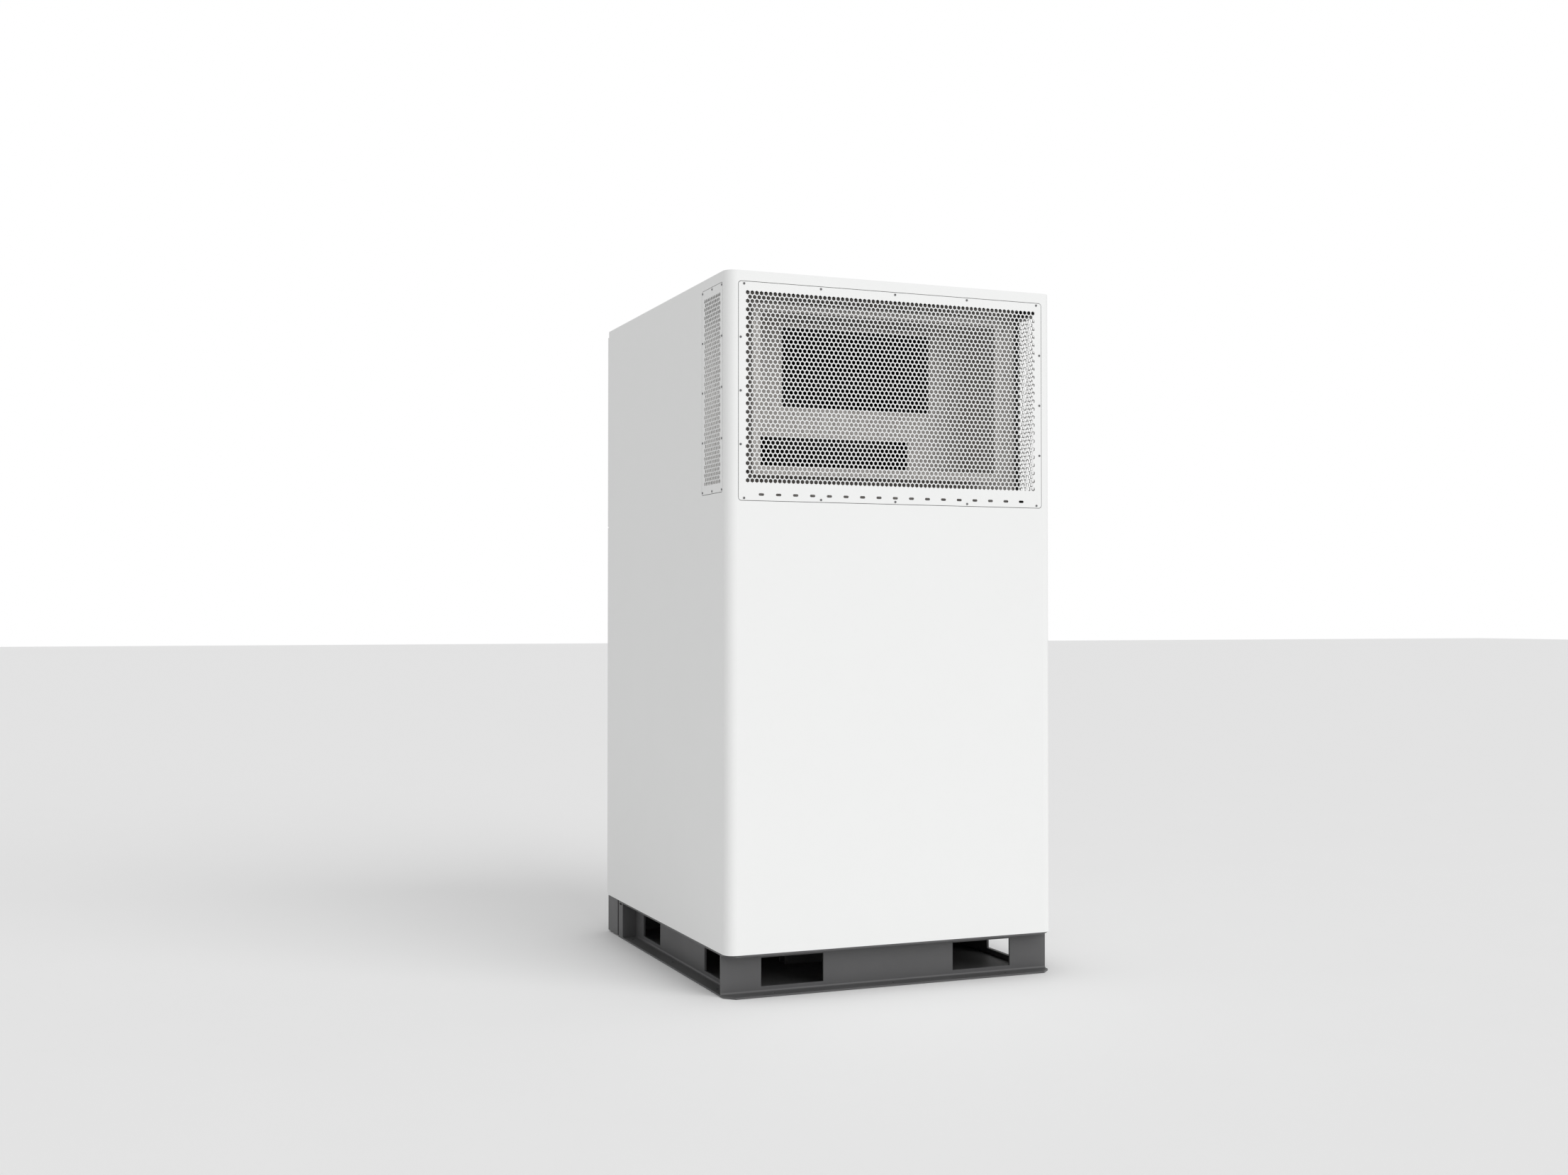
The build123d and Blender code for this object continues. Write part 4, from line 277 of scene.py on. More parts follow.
finishes = {
    "whiteCoat": coatedPaint("whitePowderCoat", (0.865, 0.870, 0.865, 1), (0.70, 0.69, 0.66, 1), 0.05,
                             1400.0, 0.42, 0.5, 0.12),
    "greyCoat": coatedPaint("darkGreyPowderCoat", (0.090, 0.090, 0.092, 1), (0.18, 0.175, 0.17, 1),
                            0.12, 1100.0, 0.45, 0.56, 0.2),
    "zinc": zincSheet("galvanisedSheet", (0.42, 0.40, 0.385, 1), (0.56, 0.54, 0.52, 1), 110.0),
    # near-black zinc: painted shade for the fan compartment parts that sit in shadow behind the grille, far
    # darker than bare zinc
    "shadeDarkZinc": zincSheet("paintedShadeZinc", (0.035, 0.034, 0.034, 1), (0.075, 0.072, 0.07, 1),
                          110.0, 0.08),
    # near-black grille seats: painted shade that darkens the gap line round each grille panel
    "gapShade": coatedPaint("gapShadeBlackSeat", (0.03, 0.03, 0.032, 1), (0.10, 0.10, 0.10, 1),
                          0.2, 900.0, 0.8, 0.9, 0.4),
    # dark grey screw heads: painted shade standing in for the shadowed drive recess and the gap round each head
    "screw": coatedPaint("shadeDarkScrewCoat", (0.16, 0.16, 0.165, 1), (0.3, 0.3, 0.3, 1),
                         0.1, 900.0, 0.35, 0.45, 0.1),
    "plated": drawnMetal("zincPlatedSteel", (0.42, 0.42, 0.43, 1), (0.62, 0.62, 0.63, 1),
                         (500, 500, 40), 0.3, 0.42),
    "fin": drawnMetal("finAluminium", (0.66, 0.67, 0.68, 1), (0.8, 0.81, 0.82, 1), (60, 60, 900),
                      0.3, 0.4),
    "copper": drawnMetal("drawnCopper", (0.50, 0.22, 0.12, 1), (0.80, 0.42, 0.27, 1), (90, 90, 12),
                         0.22, 0.4),
    "brass": drawnMetal("machinedBrass", (0.52, 0.38, 0.16, 1), (0.76, 0.60, 0.30, 1),
                        (20, 700, 700), 0.25, 0.35),
    "blackSteel": coatedPaint("satinBlackSteel", (0.022, 0.022, 0.025, 1), (0.16, 0.15, 0.14, 1), 0.2,
                              500.0, 0.3, 0.42, 0.15),
    "pvc": coatedPaint("mouldedPvc", (0.20, 0.21, 0.22, 1), (0.34, 0.33, 0.32, 1),
                       0.12, 350.0, 0.38, 0.5, 0.08),
    "rubber": coatedPaint("blackRubber", (0.018, 0.018, 0.018, 1), (0.12, 0.11, 0.10, 1), 0.25,
                          700.0, 0.65, 0.8, 0.3),
    "drain": coatedPaint("paleDrainPipe", (0.52, 0.53, 0.54, 1), (0.4, 0.38, 0.35, 1),
                         0.1, 400.0, 0.35, 0.45, 0.06),
    "gear": coatedPaint("switchgearPlastic", (0.58, 0.59, 0.58, 1), (0.4, 0.38, 0.35, 1),
                        0.08, 500.0, 0.35, 0.45, 0.1),
    "nylon": coatedPaint("blackNylon", (0.028, 0.028, 0.028, 1), (0.14, 0.13, 0.12, 1),
                         0.12, 600.0, 0.4, 0.5, 0.12),
    "yellow": coatedPaint("yellowPlastic", (0.80, 0.52, 0.03, 1), (0.5, 0.45, 0.35, 1),
                          0.05, 500.0, 0.25, 0.34, 0.05),
    "red": coatedPaint("redPlastic", (0.55, 0.015, 0.012, 1), (0.4, 0.3, 0.28, 1),
                       0.05, 500.0, 0.25, 0.34, 0.05),
    "filter": pleatedFabric("filterFabric"),
    "floor": coatedPaint("studioFloor", (0.95, 0.95, 0.95, 1), (0.93, 0.93, 0.93, 1),
                         0.1, 60.0, 0.7, 0.8, 0.02),
}
print("materials built:", len(finishes))

nodeFinish = {
    "whiteCoat": ["casing_wrap", "top_cover", "rear_frame", "hinge_post", "connection_recess", "electrical_box",
                  "electrical_cover", "upper_door", "lower_door", "grille_front", "grille_left", "grille_right",
                  "intake_grille"],
    "screw": ["grille_screws"],
    "greyCoat": ["base_rail_front", "base_rail_rear", "base_rail_left", "base_rail_right", "base_pan"],
    "zinc": ["floor_plate", "plenum_floor", "bulkhead", "duct_collar", "fan_wall", "drain_pan", "filter_frame"],
    # the fan compartment parts take the near-black zinc as painted shade
    "shadeDarkZinc": ["mid_deck", "coil_frame", "blower_scroll", "blower_wheel", "blower_mounting"],
    # the grille seats take the near-black colour as painted shade in the panel gaps
    "gapShade": ["grille_seats"],
    "plated": ["base_tab_bolts", "blower_shaft", "hinge_leaves_fixed", "hinge_leaves_lower",
               "hinge_leaves_upper"],
    "fin": ["coil_fins"],
    "copper": ["coil_pipework", "gas_lines", "liquid_lines", "filter_drier"],
    "brass": ["reversing_valve"],
    "blackSteel": ["blower_motor", "compressor", "receiver", "suction_accumulator"],
    "pvc": ["heat_exchanger", "water_unions"],
    "rubber": ["compressor_mounts"],
    "drain": ["drain_pipe"],
    "gear": ["electrical_gear"],
    "nylon": ["cable_glands", "latch_lower_bottom", "latch_lower_top", "latch_upper"],
    "yellow": ["isolator_switch"],
    "red": ["isolator_knob"],
    "filter": ["filter_media"],
}
for finishName, nodeNames in nodeFinish.items():
    for nodeName in nodeNames:
        mesh = nodes[nodeName].data
        mesh.materials.clear()
        mesh.materials.append(finishes[finishName])
print("finishes on", sum(len(names) for names in nodeFinish.values()), "nodes")


# geometry trees

def perforatedSheetTree():
    tree = bpy.data.node_groups.new("perforatedSheet", "GeometryNodeTree")
    sizes = [("Width", 0.9), ("Height", 0.5), ("Corner", 0.008), ("Thickness", 0.002), ("Hole Flats", 0.0107),
             ("Pitch", 0.01332), ("Field Y", 0.0), ("Slot Pitch", 0.05), ("Slot Length", 0.016),
             ("Slot Height", 0.007), ("Slot Y", -0.28), ("Screw Hole", 0.0022), ("Screw Span X", 0.9),
             ("Screw Span Y", 0.57), ("Side Span X", 0.91), ("Side Span Y", 0.29)]
    for name, value in sizes:
        addSocket(tree, name, "INPUT", "NodeSocketFloat", value)
    counts = [("Columns", 67), ("Rows", 45), ("Slots", 17), ("Screw Columns", 5), ("Side Screws", 3)]
    for name, value in counts:
        addSocket(tree, name, "INPUT", "NodeSocketInt", value)
    addSocket(tree, "Material", "INPUT", "NodeSocketMaterial")
    addSocket(tree, "Geometry", "OUTPUT", "NodeSocketGeometry")
    source = addNode(tree, "NodeGroupInput", (-1800, 0))
    target = addNode(tree, "NodeGroupOutput", (1800, 0))

    def compute(operation, first, second, place):
        node = addNode(tree, "ShaderNodeMath", place, operation=operation)
        feed(tree, first, node.inputs[0])
        feed(tree, second, node.inputs[1])
        return node.outputs[0]

    def vector(x, y, place):
        node = addNode(tree, "ShaderNodeCombineXYZ", place)
        feed(tree, x, node.inputs["X"])
        feed(tree, y, node.inputs["Y"])
        return node.outputs[0]

    def grid(spanX, spanY, countX, countY, place):
        node = addNode(tree, "GeometryNodeMeshGrid", place)
        sockets = {"Size X": spanX, "Size Y": spanY, "Vertices X": countX, "Vertices Y": countY}
        for name, value in sockets.items():
            feed(tree, value, node.inputs[name])
        return node.outputs["Mesh"]

    def moved(geometry, offset, place):
        node = addNode(tree, "GeometryNodeTransform", place)
        tree.links.new(geometry, node.inputs["Geometry"])
        tree.links.new(offset, node.inputs["Translation"])
        return node.outputs["Geometry"]

    def scatter(points, instance, place):
        node = addNode(tree, "GeometryNodeInstanceOnPoints", place)
        tree.links.new(points, node.inputs["Points"])
        tree.links.new(instance, node.inputs["Instance"])
        return node.outputs["Instances"]

    def rounded(width, height, corner, count, place):
        sheet = addNode(tree, "GeometryNodeCurvePrimitiveQuadrilateral", place)
        tree.links.new(width, sheet.inputs["Width"])
        tree.links.new(height, sheet.inputs["Height"])
        fillet = addNode(tree, "GeometryNodeFilletCurve", (place[0] + 200, place[1]))
        fillet.mode = "POLY"
        fillet.inputs["Count"].default_value = count
        tree.links.new(sheet.outputs["Curve"], fillet.inputs["Curve"])
        tree.links.new(corner, fillet.inputs["Radius"])
        return fillet.outputs["Curve"]

    put = source.outputs
    outline = rounded(put["Width"], put["Height"], put["Corner"], 6, (-1400, 700))

    # two interleaved grids of hexagons, the second one column shorter
    radius = compute("DIVIDE", put["Hole Flats"], 3 ** 0.5, (-1500, 400))
    hexagon = addNode(tree, "GeometryNodeCurvePrimitiveCircle", (-1200, 400))
    hexagon.inputs["Resolution"].default_value = 6
    tree.links.new(radius, hexagon.inputs["Radius"])
    upright = addNode(tree, "GeometryNodeTransform", (-1000, 400))
    upright.inputs["Rotation"].default_value = (0, 0, math.pi / 6)
    tree.links.new(hexagon.outputs["Curve"], upright.inputs["Geometry"])
    rowStep = compute("MULTIPLY", put["Pitch"], 3 ** 0.5 / 2, (-1500, 200))
    halfRows = compute("DIVIDE", compute("ADD", put["Rows"], 1, (-1650, 100)), 2, (-1500, 100))
    fullRows = compute("FLOOR", halfRows, 0, (-1400, 100))
    shortRows = compute("SUBTRACT", put["Rows"], fullRows, (-1300, 100))
    lessColumns = compute("SUBTRACT", put["Columns"], 1, (-1300, 0))
    fullSpanX = compute("MULTIPLY", put["Pitch"], lessColumns, (-1200, 0))
    shortSpanX = compute("SUBTRACT", fullSpanX, put["Pitch"], (-1100, 0))
    doubleStep = compute("MULTIPLY", rowStep, 2, (-1200, 200))
    fullSpanY = compute("MULTIPLY", doubleStep, compute("SUBTRACT", fullRows, 1, (-1100, 150)), (-1000, 150))
    shortSpanY = compute("MULTIPLY", doubleStep, compute("SUBTRACT", shortRows, 1, (-1100, 80)), (-1000, 80))
    centre = vector(0.0, put["Field Y"], (-900, 0))
    fullGrid = moved(grid(fullSpanX, fullSpanY, put["Columns"], fullRows, (-800, 300)), centre, (-600, 300))
    shortGrid = moved(grid(shortSpanX, shortSpanY, lessColumns, shortRows, (-800, 100)), centre, (-600, 100))
    fullHoles = scatter(fullGrid, upright.outputs["Geometry"], (-400, 300))
    shortHoles = scatter(shortGrid, upright.outputs["Geometry"], (-400, 100))

    # drain slots in one row
    slotRadius = compute("MULTIPLY", put["Slot Height"], 0.499, (-1500, -200))
    slot = rounded(put["Slot Length"], put["Slot Height"], slotRadius, 5, (-1200, -200))
    slotGaps = compute("SUBTRACT", put["Slots"], 1, (-1100, -350))
    slotSpan = compute("MULTIPLY", put["Slot Pitch"], slotGaps, (-1000, -350))
    slotGrid = grid(slotSpan, 0.0, put["Slots"], 1, (-800, -250))
    slotPlace = vector(0.0, put["Slot Y"], (-700, -350))
    slotHoles = scatter(moved(slotGrid, slotPlace, (-600, -250)), slot, (-400, -250))

    # screw holes: two full rows, and the columns between them
    screwHole = addNode(tree, "GeometryNodeCurvePrimitiveCircle", (-1200, -550))
    screwHole.inputs["Resolution"].default_value = 12
    tree.links.new(put["Screw Hole"], screwHole.inputs["Radius"])
    rowGrid = grid(put["Screw Span X"], put["Screw Span Y"], put["Screw Columns"], 2, (-800, -500))
    sideGrid = grid(put["Side Span X"], put["Side Span Y"], 2, put["Side Screws"], (-800, -700))
    rowHoles = scatter(rowGrid, screwHole.outputs["Curve"], (-400, -500))
    sideHoles = scatter(sideGrid, screwHole.outputs["Curve"], (-400, -700))

    gather = addNode(tree, "GeometryNodeJoinGeometry", (0, 0))
    for curves in (outline, fullHoles, shortHoles, slotHoles, rowHoles, sideHoles):
        tree.links.new(curves, gather.inputs[0])
    solid = addNode(tree, "GeometryNodeRealizeInstances", (200, 0))
    fill = addNode(tree, "GeometryNodeFillCurve", (400, 0))
    thick = addNode(tree, "GeometryNodeExtrudeMesh", (700, 100))
    thick.inputs["Individual"].default_value = False
    flip = addNode(tree, "GeometryNodeFlipFaces", (700, -150))
    both = addNode(tree, "GeometryNodeJoinGeometry", (950, 0))
    weld = addNode(tree, "GeometryNodeMergeByDistance", (1150, 0))
    weld.inputs["Distance"].default_value = 0.000002
    coat = addNode(tree, "GeometryNodeSetMaterial", (1400, 0))
    join(tree, gather, 0, solid, 0)
    join(tree, solid, 0, fill, "Curve")
    join(tree, fill, "Mesh", thick, "Mesh")
    join(tree, source, "Thickness", thick, "Offset Scale")
    join(tree, fill, "Mesh", flip, "Mesh")
    join(tree, thick, "Mesh", both, 0)
    join(tree, flip, "Mesh", both, 0)
    join(tree, both, 0, weld, 0)
    join(tree, weld, 0, coat, "Geometry")
    join(tree, source, "Material", coat, "Material")
    join(tree, coat, 0, target, 0)
    return tree


def screwScatterTree():
    tree = bpy.data.node_groups.new("screwScatter", "GeometryNodeTree")
    addSocket(tree, "Screw", "INPUT", "NodeSocketObject")
    for name, value in [("Span X", 0.9), ("Span Y", 0.57), ("Side Span X", 0.91), ("Side Span Y", 0.29)]:
        addSocket(tree, name, "INPUT", "NodeSocketFloat", value)
    addSocket(tree, "Columns", "INPUT", "NodeSocketInt", 5)
    addSocket(tree, "Side Screws", "INPUT", "NodeSocketInt", 3)
    addSocket(tree, "Seed", "INPUT", "NodeSocketInt", 3)
    addSocket(tree, "Material", "INPUT", "NodeSocketMaterial")
    addSocket(tree, "Geometry", "OUTPUT", "NodeSocketGeometry")
    source = addNode(tree, "NodeGroupInput", (-900, 0))
    target = addNode(tree, "NodeGroupOutput", (900, 0))
    rows = addNode(tree, "GeometryNodeMeshGrid", (-600, 200))
    rows.inputs["Vertices Y"].default_value = 2
    sides = addNode(tree, "GeometryNodeMeshGrid", (-600, -200))
    sides.inputs["Vertices X"].default_value = 2
    join(tree, source, "Span X", rows, "Size X")
    join(tree, source, "Span Y", rows, "Size Y")
    join(tree, source, "Columns", rows, "Vertices X")
    join(tree, source, "Side Span X", sides, "Size X")
    join(tree, source, "Side Span Y", sides, "Size Y")
    join(tree, source, "Side Screws", sides, "Vertices Y")
    points = addNode(tree, "GeometryNodeJoinGeometry", (-350, 0))
    tree.links.new(rows.outputs["Mesh"], points.inputs[0])
    tree.links.new(sides.outputs["Mesh"], points.inputs[0])
    shape = addNode(tree, "GeometryNodeObjectInfo", (-350, -250))
    join(tree, source, "Screw", shape, "Object")
    turn = addNode(tree, "FunctionNodeRandomValue", (-350, 300), data_type="FLOAT")
    turn.inputs[3].default_value = 2 * math.pi
    join(tree, source, "Seed", turn, "Seed")
    spin = addNode(tree, "ShaderNodeCombineXYZ", (-150, 300))
    tree.links.new(turn.outputs[1], spin.inputs["Z"])
    place = addNode(tree, "GeometryNodeInstanceOnPoints", (0, 0))
    join(tree, points, 0, place, "Points")
    join(tree, shape, "Geometry", place, "Instance")
    join(tree, spin, 0, place, "Rotation")
    solid = addNode(tree, "GeometryNodeRealizeInstances", (300, 0))
    coat = addNode(tree, "GeometryNodeSetMaterial", (600, 0))
    join(tree, place, 0, solid, 0)
    join(tree, solid, 0, coat, "Geometry")
    join(tree, source, "Material", coat, "Material")
    join(tree, coat, 0, target, 0)
    return tree


def finStackTree():
    tree = bpy.data.node_groups.new("finStack", "GeometryNodeTree")
    addSocket(tree, "Length", "INPUT", "NodeSocketFloat", 0.788)
    addSocket(tree, "Depth", "INPUT", "NodeSocketFloat", 0.1)
    addSocket(tree, "Height", "INPUT", "NodeSocketFloat", 0.5)
    addSocket(tree, "Fin Thickness", "INPUT", "NodeSocketFloat", 0.0003)
    addSocket(tree, "Fins", "INPUT", "NodeSocketInt", 260)
    addSocket(tree, "Tube Radius", "INPUT", "NodeSocketFloat", 0.005)
    addSocket(tree, "Tube Rows", "INPUT", "NodeSocketInt", 20)
    addSocket(tree, "Tube Columns", "INPUT", "NodeSocketInt", 3)
    addSocket(tree, "Fin Material", "INPUT", "NodeSocketMaterial")
    addSocket(tree, "Tube Material", "INPUT", "NodeSocketMaterial")
    addSocket(tree, "Geometry", "OUTPUT", "NodeSocketGeometry")
    source = addNode(tree, "NodeGroupInput", (-1100, 0))
    target = addNode(tree, "NodeGroupOutput", (1100, 0))
    row = addNode(tree, "GeometryNodeMeshGrid", (-600, 300))
    row.inputs["Vertices Y"].default_value = 1
    less = addNode(tree, "ShaderNodeMath", (-850, 300), operation="SUBTRACT")
    join(tree, source, "Length", less, 0)
    join(tree, source, "Fin Thickness", less, 1)
    tree.links.new(less.outputs[0], row.inputs["Size X"])
    join(tree, source, "Fins", row, "Vertices X")
    finSize = addNode(tree, "ShaderNodeCombineXYZ", (-850, 0))
    join(tree, source, "Fin Thickness", finSize, "X")
    join(tree, source, "Depth", finSize, "Y")
    join(tree, source, "Height", finSize, "Z")
    fin = addNode(tree, "GeometryNodeMeshCube", (-600, 0))
    join(tree, finSize, 0, fin, "Size")
    fins = addNode(tree, "GeometryNodeInstanceOnPoints", (-300, 200))
    join(tree, row, "Mesh", fins, "Points")
    join(tree, fin, "Mesh", fins, "Instance")
    finCoat = addNode(tree, "GeometryNodeSetMaterial", (0, 200))
    join(tree, fins, 0, finCoat, "Geometry")
    join(tree, source, "Fin Material", finCoat, "Material")
    tube = addNode(tree, "GeometryNodeMeshCylinder", (-600, -300))
    tube.inputs["Vertices"].default_value = 12
    join(tree, source, "Tube Radius", tube, "Radius")
    join(tree, source, "Length", tube, "Depth")
    lie = addNode(tree, "GeometryNodeTransform", (-400, -300))
    lie.inputs["Rotation"].default_value = (0, math.pi / 2, 0)
    join(tree, tube, "Mesh", lie, "Geometry")
    across = addNode(tree, "ShaderNodeMath", (-850, -500), operation="MULTIPLY")
    across.inputs[1].default_value = 0.66
    join(tree, source, "Depth", across, 0)
    upward = addNode(tree, "ShaderNodeMath", (-850, -650), operation="MULTIPLY")
    upward.inputs[1].default_value = 0.94
    join(tree, source, "Height", upward, 0)
    tubeGrid = addNode(tree, "GeometryNodeMeshGrid", (-600, -550))
    tree.links.new(upward.outputs[0], tubeGrid.inputs["Size X"])
    tree.links.new(across.outputs[0], tubeGrid.inputs["Size Y"])
    join(tree, source, "Tube Rows", tubeGrid, "Vertices X")
    join(tree, source, "Tube Columns", tubeGrid, "Vertices Y")
    stand = addNode(tree, "GeometryNodeTransform", (-400, -550))
    stand.inputs["Rotation"].default_value = (0, math.pi / 2, 0)
    join(tree, tubeGrid, "Mesh", stand, "Geometry")
    tubes = addNode(tree, "GeometryNodeInstanceOnPoints", (-150, -350))
    join(tree, stand, "Geometry", tubes, "Points")
    join(tree, lie, "Geometry", tubes, "Instance")
    tubeCoat = addNode(tree, "GeometryNodeSetMaterial", (150, -350))
    join(tree, tubes, 0, tubeCoat, "Geometry")
    join(tree, source, "Tube Material", tubeCoat, "Material")
    gather = addNode(tree, "GeometryNodeJoinGeometry", (450, 0))
    join(tree, tubeCoat, 0, gather, 0)
    join(tree, finCoat, 0, gather, 0)
    solid = addNode(tree, "GeometryNodeRealizeInstances", (700, 0))
    join(tree, gather, 0, solid, 0)
    join(tree, solid, 0, target, 0)
    return tree


def growPiece(name, tree, values, place):
    # runs a geometry tree once and keeps its result as a plain mesh, put in place in the mesh itself
    carrier = bpy.data.objects.new(name + "Carrier", bpy.data.meshes.new(name + "Carrier"))
    bpy.context.scene.collection.objects.link(carrier)
    modifier = carrier.modifiers.new("grow", "NODES")
    modifier.node_group = tree
    sockets = {item.name: item.identifier for item in tree.interface.items_tree
               if item.item_type == "SOCKET" and item.in_out == "INPUT"}
    for socketName, value in values.items():
        modifier[sockets[socketName]] = value
    carrier.update_tag()
    graph = bpy.context.evaluated_depsgraph_get()
    mesh = bpy.data.meshes.new_from_object(carrier.evaluated_get(graph))
    bpy.data.objects.remove(carrier)
    mesh.transform(place)
    mesh.name = name
    piece = bpy.data.objects.new(name, mesh)
    bpy.context.scene.collection.objects.link(piece)
    return piece


def facing(origin, xAxis, yAxis):
    # lays a flat piece's x and y along two directions, its thickness along their cross product
    xAxis = Vector(xAxis)
    yAxis = Vector(yAxis)
    rotation = Matrix((xAxis, yAxis, xAxis.cross(yAxis))).transposed().to_4x4()
    return Matrix.Translation(origin) @ rotation


sheetTree = perforatedSheetTree()
screwTree = screwScatterTree()
finTree = finStackTree()
print("geometry trees built")

# perforated panels

hexHoles = {"flats": 0.0107, "pitch": 0.01332, "rows": 45}
frontPanel = {"columns": 67, "fieldDrop": 0.0122, "slots": 17, "slotPitch": 0.05, "slotLength": 0.016,
              "slotHeight": 0.007, "slotRise": 0.0164, "corner": 0.008, "screwColumns": 5, "sideScrews": 3,
              "cornerInset": 0.01575, "rowInset": 0.0059, "sideInset": 0.00575}
sidePanel = {"columns": 10, "fieldDrop": 0.0, "corner": 0.008, "screwColumns": 3, "sideScrews": 3,
             "cornerInset": 0.0065, "rowInset": 0.0059, "sideInset": 0.0065}
intakePanel = {"columns": 59, "rows": 39, "corner": 0.002}


def screwSpans(width, height, panel):
    spanY = height - 2 * panel["rowInset"]
    between = spanY / (panel["sideScrews"] + 1)
    return {"Span X": width - 2 * panel["cornerInset"], "Span Y": spanY,
            "Side Span X": width - 2 * panel["sideInset"], "Side Span Y": between * (panel["sideScrews"] - 1)}


def perforatedPanel(pieceName, width, height, panel, place, thickness):
    values = {"Width": width, "Height": height, "Corner": panel["corner"], "Thickness": thickness,
              "Hole Flats": hexHoles["flats"], "Pitch": hexHoles["pitch"], "Columns": panel["columns"],
              "Rows": panel.get("rows", hexHoles["rows"]), "Field Y": panel.get("fieldDrop", 0.0),
              "Slots": panel.get("slots", 0), "Screw Columns": panel.get("screwColumns", 0),
              "Side Screws": panel.get("sideScrews", 0), "Material": finishes["whiteCoat"]}
    if "slots" in panel:
        values.update({"Slot Pitch": panel["slotPitch"], "Slot Length": panel["slotLength"],
                       "Slot Height": panel["slotHeight"], "Slot Y": panel["slotRise"] - height / 2})
    if "screwColumns" in panel:
        spans = screwSpans(width, height, panel)
        values.update({"Screw Span X": spans["Span X"], "Screw Span Y": spans["Span Y"],
                       "Side Span X": spans["Side Span X"], "Side Span Y": spans["Side Span Y"]})
    piece = growPiece(pieceName, sheetTree, values, place)
    print(pieceName, len(piece.data.polygons), "faces")
    return piece


frontLow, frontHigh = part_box("grille_front")
leftLow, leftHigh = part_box("grille_left")
rightLow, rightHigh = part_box("grille_right")
intakeLow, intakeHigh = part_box("intake_grille")
frontMiddle = (frontLow + frontHigh) / 2
leftMiddle = (leftLow + leftHigh) / 2
rightMiddle = (rightLow + rightHigh) / 2
intakeMiddle = (intakeLow + intakeHigh) / 2
frontPlace = facing((frontMiddle.x, frontHigh.y, frontMiddle.z), (1, 0, 0), (0, 0, 1))
leftPlace = facing((leftHigh.x, leftMiddle.y, leftMiddle.z), (0, -1, 0), (0, 0, 1))
rightPlace = facing((rightLow.x, rightMiddle.y, rightMiddle.z), (0, 1, 0), (0, 0, 1))
intakePlace = facing((intakeMiddle.x, intakeLow.y, intakeMiddle.z), (-1, 0, 0), (0, 0, 1))

frontGrille = perforatedPanel("frontGrille", frontHigh.x - frontLow.x, frontHigh.z - frontLow.z,
                              frontPanel, frontPlace, frontHigh.y - frontLow.y)
leftGrille = perforatedPanel("leftGrille", leftHigh.y - leftLow.y, leftHigh.z - leftLow.z,
                             sidePanel, leftPlace, leftHigh.x - leftLow.x)
rightGrille = perforatedPanel("rightGrille", rightHigh.y - rightLow.y, rightHigh.z - rightLow.z,
                              sidePanel, rightPlace, rightHigh.x - rightLow.x)
intakeGrille = perforatedPanel("intakeGrille", intakeHigh.x - intakeLow.x,
                               intakeHigh.z - intakeLow.z, intakePanel, intakePlace, intakeHigh.y - intakeLow.y)
for piece, body, nodeName in ((frontGrille, "cabinet", "grille_front"), (leftGrille, "cabinet", "grille_left"),
                              (rightGrille, "cabinet", "grille_right"),
                              (intakeGrille, "upper_door_leaf", "intake_grille")):
    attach(piece, body)
    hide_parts(nodeName)

# grille screws

screwHead = {"radius": 0.0032, "height": 0.0016, "shank": 0.002, "length": 0.009, "drive": 0.0012,
             "driveDepth": 0.001, "dome": 0.0006, "steps": 24, "lobes": 6, "lobeDepth": 0.14}


def panHeadScrew(size):
    # a lathe-turned head and shank, with a six-sided drive sunk into the head
    steps = size["steps"]
    angles = [2 * math.pi * step / steps for step in range(steps)]
    profile = [(size["radius"], 0.0), (size["radius"], size["height"] - size["dome"]),
               (size["radius"] * 0.86, size["height"] - size["dome"] * 0.3),
               (size["radius"] * 0.62, size["height"])]
    bm = bmesh.new()
    rings = []
    for radius, z in [(size["shank"], -size["length"]), (size["shank"], 0.0)] + profile:
        ring = []
        for angle in angles:
            ring.append(bm.verts.new((radius * math.cos(angle), radius * math.sin(angle), z)))
        rings.append(ring)
    for z in (size["height"], size["height"] - size["driveDepth"]):
        ring = []
        for angle in angles:
            lobe = size["drive"] * (1 - size["lobeDepth"] * (1 - math.cos(size["lobes"] * angle)))
            ring.append(bm.verts.new((lobe * math.cos(angle), lobe * math.sin(angle), z)))
        rings.append(ring)
    for low, high in zip(rings, rings[1:]):
        for step in range(steps):
            after = (step + 1) % steps
            bm.faces.new((low[step], low[after], high[after], high[step]))
    bm.faces.new(list(reversed(rings[0])))
    bm.faces.new(rings[-1])
    bmesh.ops.recalc_face_normals(bm, faces=bm.faces)
    mesh = bpy.data.meshes.new("panHeadScrew")
    bm.to_mesh(mesh)
    bm.free()
    screw = bpy.data.objects.new("panHeadScrew", mesh)
    bpy.context.scene.collection.objects.link(screw)
    return screw


oneScrew = panHeadScrew(screwHead)


def screwSet(name, width, height, panel, place, seed):
    values = {"Screw": oneScrew, "Columns": panel["screwColumns"], "Side Screws": panel["sideScrews"],
              "Seed": seed, "Material": finishes["screw"]}
    values.update(screwSpans(width, height, panel))
    return growPiece(name, screwTree, values, place)


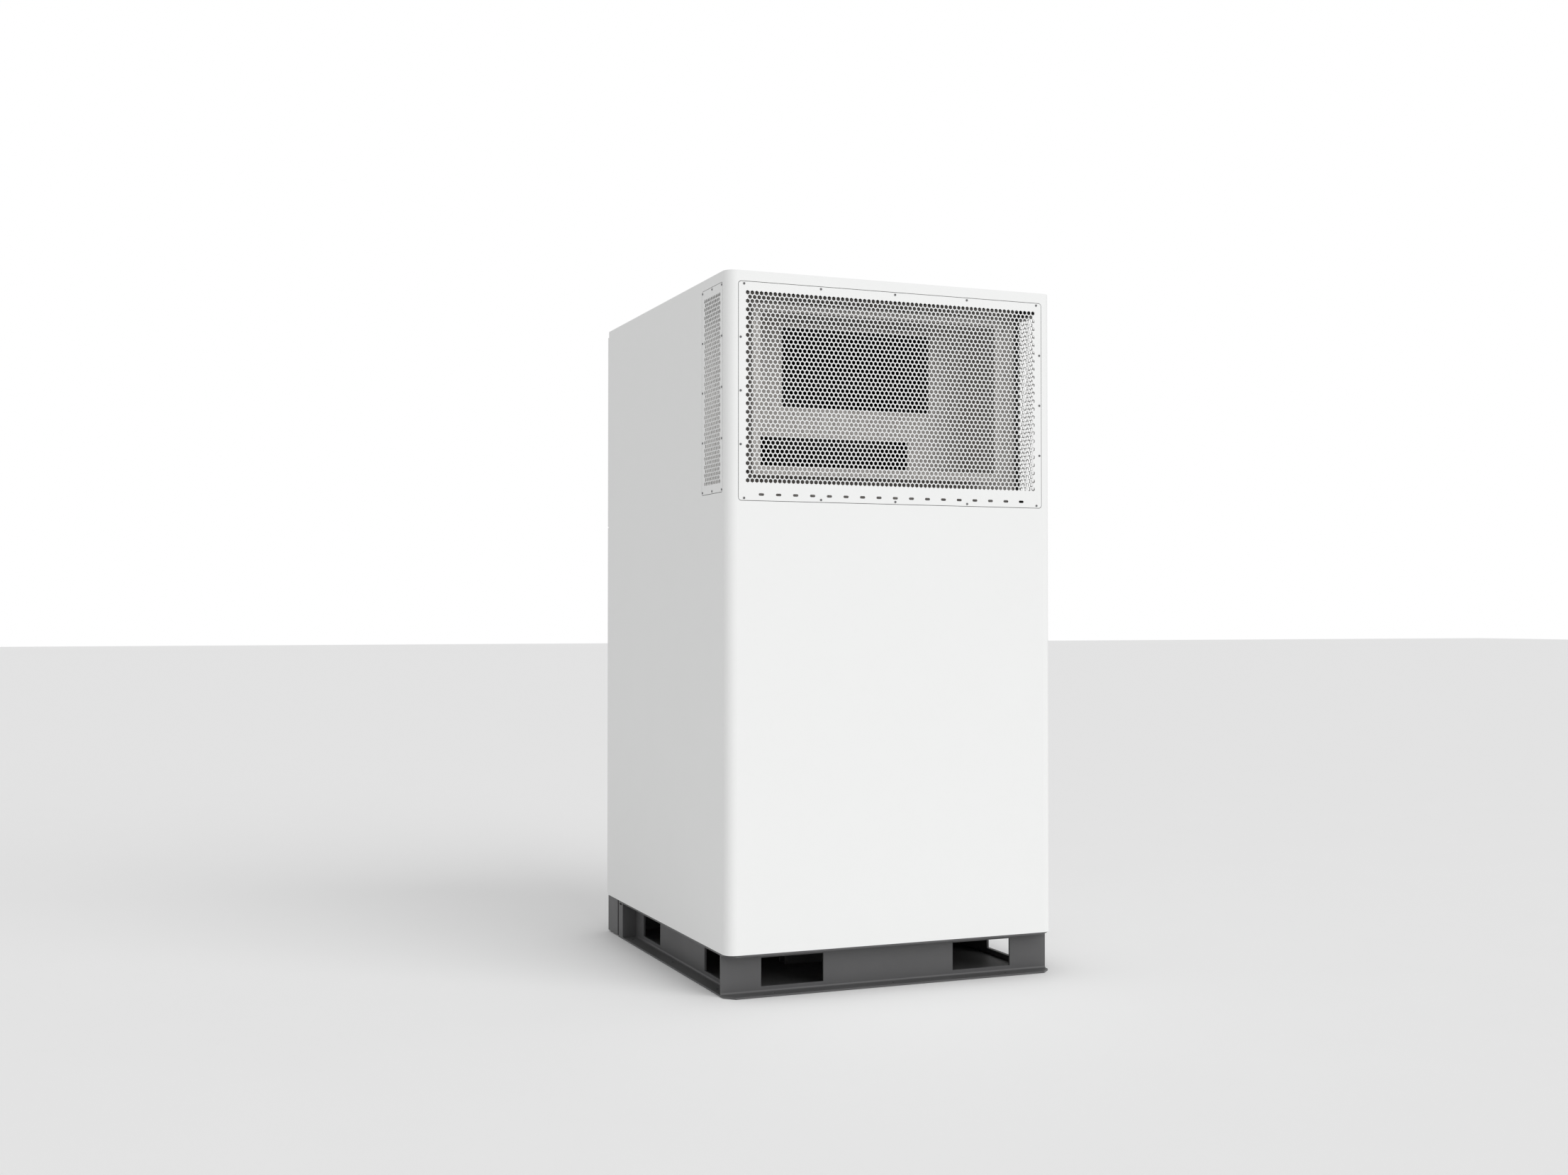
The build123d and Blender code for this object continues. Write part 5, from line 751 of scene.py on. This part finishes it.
frontFace = facing((frontMiddle.x, frontLow.y, frontMiddle.z), (1, 0, 0), (0, 0, 1))
leftFace = facing((leftLow.x, leftMiddle.y, leftMiddle.z), (0, -1, 0), (0, 0, 1))
rightFace = facing((rightHigh.x, rightMiddle.y, rightMiddle.z), (0, 1, 0), (0, 0, 1))
screwPieces = [
    screwSet("frontScrews", frontHigh.x - frontLow.x, frontHigh.z - frontLow.z, frontPanel, frontFace, 3),
    screwSet("leftScrews", leftHigh.y - leftLow.y, leftHigh.z - leftLow.z, sidePanel, leftFace, 5),
    screwSet("rightScrews", rightHigh.y - rightLow.y, rightHigh.z - rightLow.z, sidePanel, rightFace, 8),
]
bpy.data.objects.remove(oneScrew)
for piece in screwPieces:
    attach(piece, "cabinet")
    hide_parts("grille_screws")
print("grilles and screws placed")

# coil fins

finStack = {"fins": 262, "thickness": 0.0003, "tubeRadius": 0.005, "tubeRows": 20, "tubeColumns": 3}
coilLow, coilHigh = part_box("coil_fins")
coilMiddle = (coilLow + coilHigh) / 2
coilFins = growPiece("coilFins", finTree, {
    "Length": coilHigh.x - coilLow.x, "Depth": coilHigh.y - coilLow.y, "Height": coilHigh.z - coilLow.z,
    "Fin Thickness": finStack["thickness"], "Fins": finStack["fins"], "Tube Radius": finStack["tubeRadius"],
    "Tube Rows": finStack["tubeRows"], "Tube Columns": finStack["tubeColumns"],
    "Fin Material": finishes["fin"], "Tube Material": finishes["copper"]}, Matrix.Translation(coilMiddle))
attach(coilFins, "cabinet")
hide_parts("coil_fins")
print("coil fins placed")

# floor, light and camera

studio = {"floorSize": 120.0, "floorDrop": 0.0005, "ambient": 0.61, "backdrop": 1.0, "sun": 1.22,
          "sunAngle": 50.0, "sunFrom": (0.45, -1.0, 0.72)}


def studioFloor():
    bm = bmesh.new()
    bmesh.ops.create_grid(bm, x_segments=2, y_segments=2, size=studio["floorSize"] / 2)
    mesh = bpy.data.meshes.new("studioFloor")
    bm.to_mesh(mesh)
    bm.free()
    mesh.transform(Matrix.Translation((0, 0, -studio["floorDrop"])))
    mesh.materials.append(finishes["floor"])
    floor = bpy.data.objects.new("studioFloor", mesh)
    bpy.context.scene.collection.objects.link(floor)


def softWorld():
    # even white surroundings, and a plain white backdrop where the camera looks past the unit
    world = bpy.data.worlds.new("softWorld")
    world.use_nodes = True
    tree = world.node_tree
    surround = tree.nodes["Background"]
    surround.inputs["Color"].default_value = (1.0, 1.0, 1.0, 1)
    surround.inputs["Strength"].default_value = studio["ambient"]
    backdrop = addNode(tree, "ShaderNodeBackground", (0, -200))
    backdrop.inputs["Color"].default_value = (1.0, 1.0, 1.0, 1)
    backdrop.inputs["Strength"].default_value = studio["backdrop"]
    rays = addNode(tree, "ShaderNodeLightPath", (0, 300))
    pick = addNode(tree, "ShaderNodeMixShader", (300, 0))
    join(tree, rays, "Is Camera Ray", pick, 0)
    tree.links.new(surround.outputs[0], pick.inputs[1])
    tree.links.new(backdrop.outputs[0], pick.inputs[2])
    tree.links.new(pick.outputs[0], tree.nodes["World Output"].inputs["Surface"])
    bpy.context.scene.world = world


def softSun():
    lamp = bpy.data.lights.new("softSun", "SUN")
    lamp.energy = studio["sun"]
    lamp.angle = math.radians(studio["sunAngle"])
    sun = bpy.data.objects.new("softSun", lamp)
    sun.rotation_euler = Vector(studio["sunFrom"]).to_track_quat("Z", "Y").to_euler()
    bpy.context.scene.collection.objects.link(sun)


studioFloor()
softWorld()
softSun()
bpy.context.scene.view_settings.view_transform = "Standard"

view = {"back": 4.3797, "left": 1.6008, "height": 1.0229, "yaw": 21.966, "pitch": 0.963, "lens": 40.01}
cameraData = bpy.data.cameras.new("camera")
cameraData.lens = view["lens"]
cameraData.sensor_width = 36.0
cameraData.clip_end = 200.0
camera = bpy.data.objects.new("camera", cameraData)
camera.location = (caseLow.x - view["left"], caseLow.y - view["back"], view["height"])
camera.rotation_euler = (math.radians(90 + view["pitch"]), 0, -math.radians(view["yaw"]))
bpy.context.scene.collection.objects.link(camera)
bpy.context.scene.camera = camera
print("camera and lights placed")
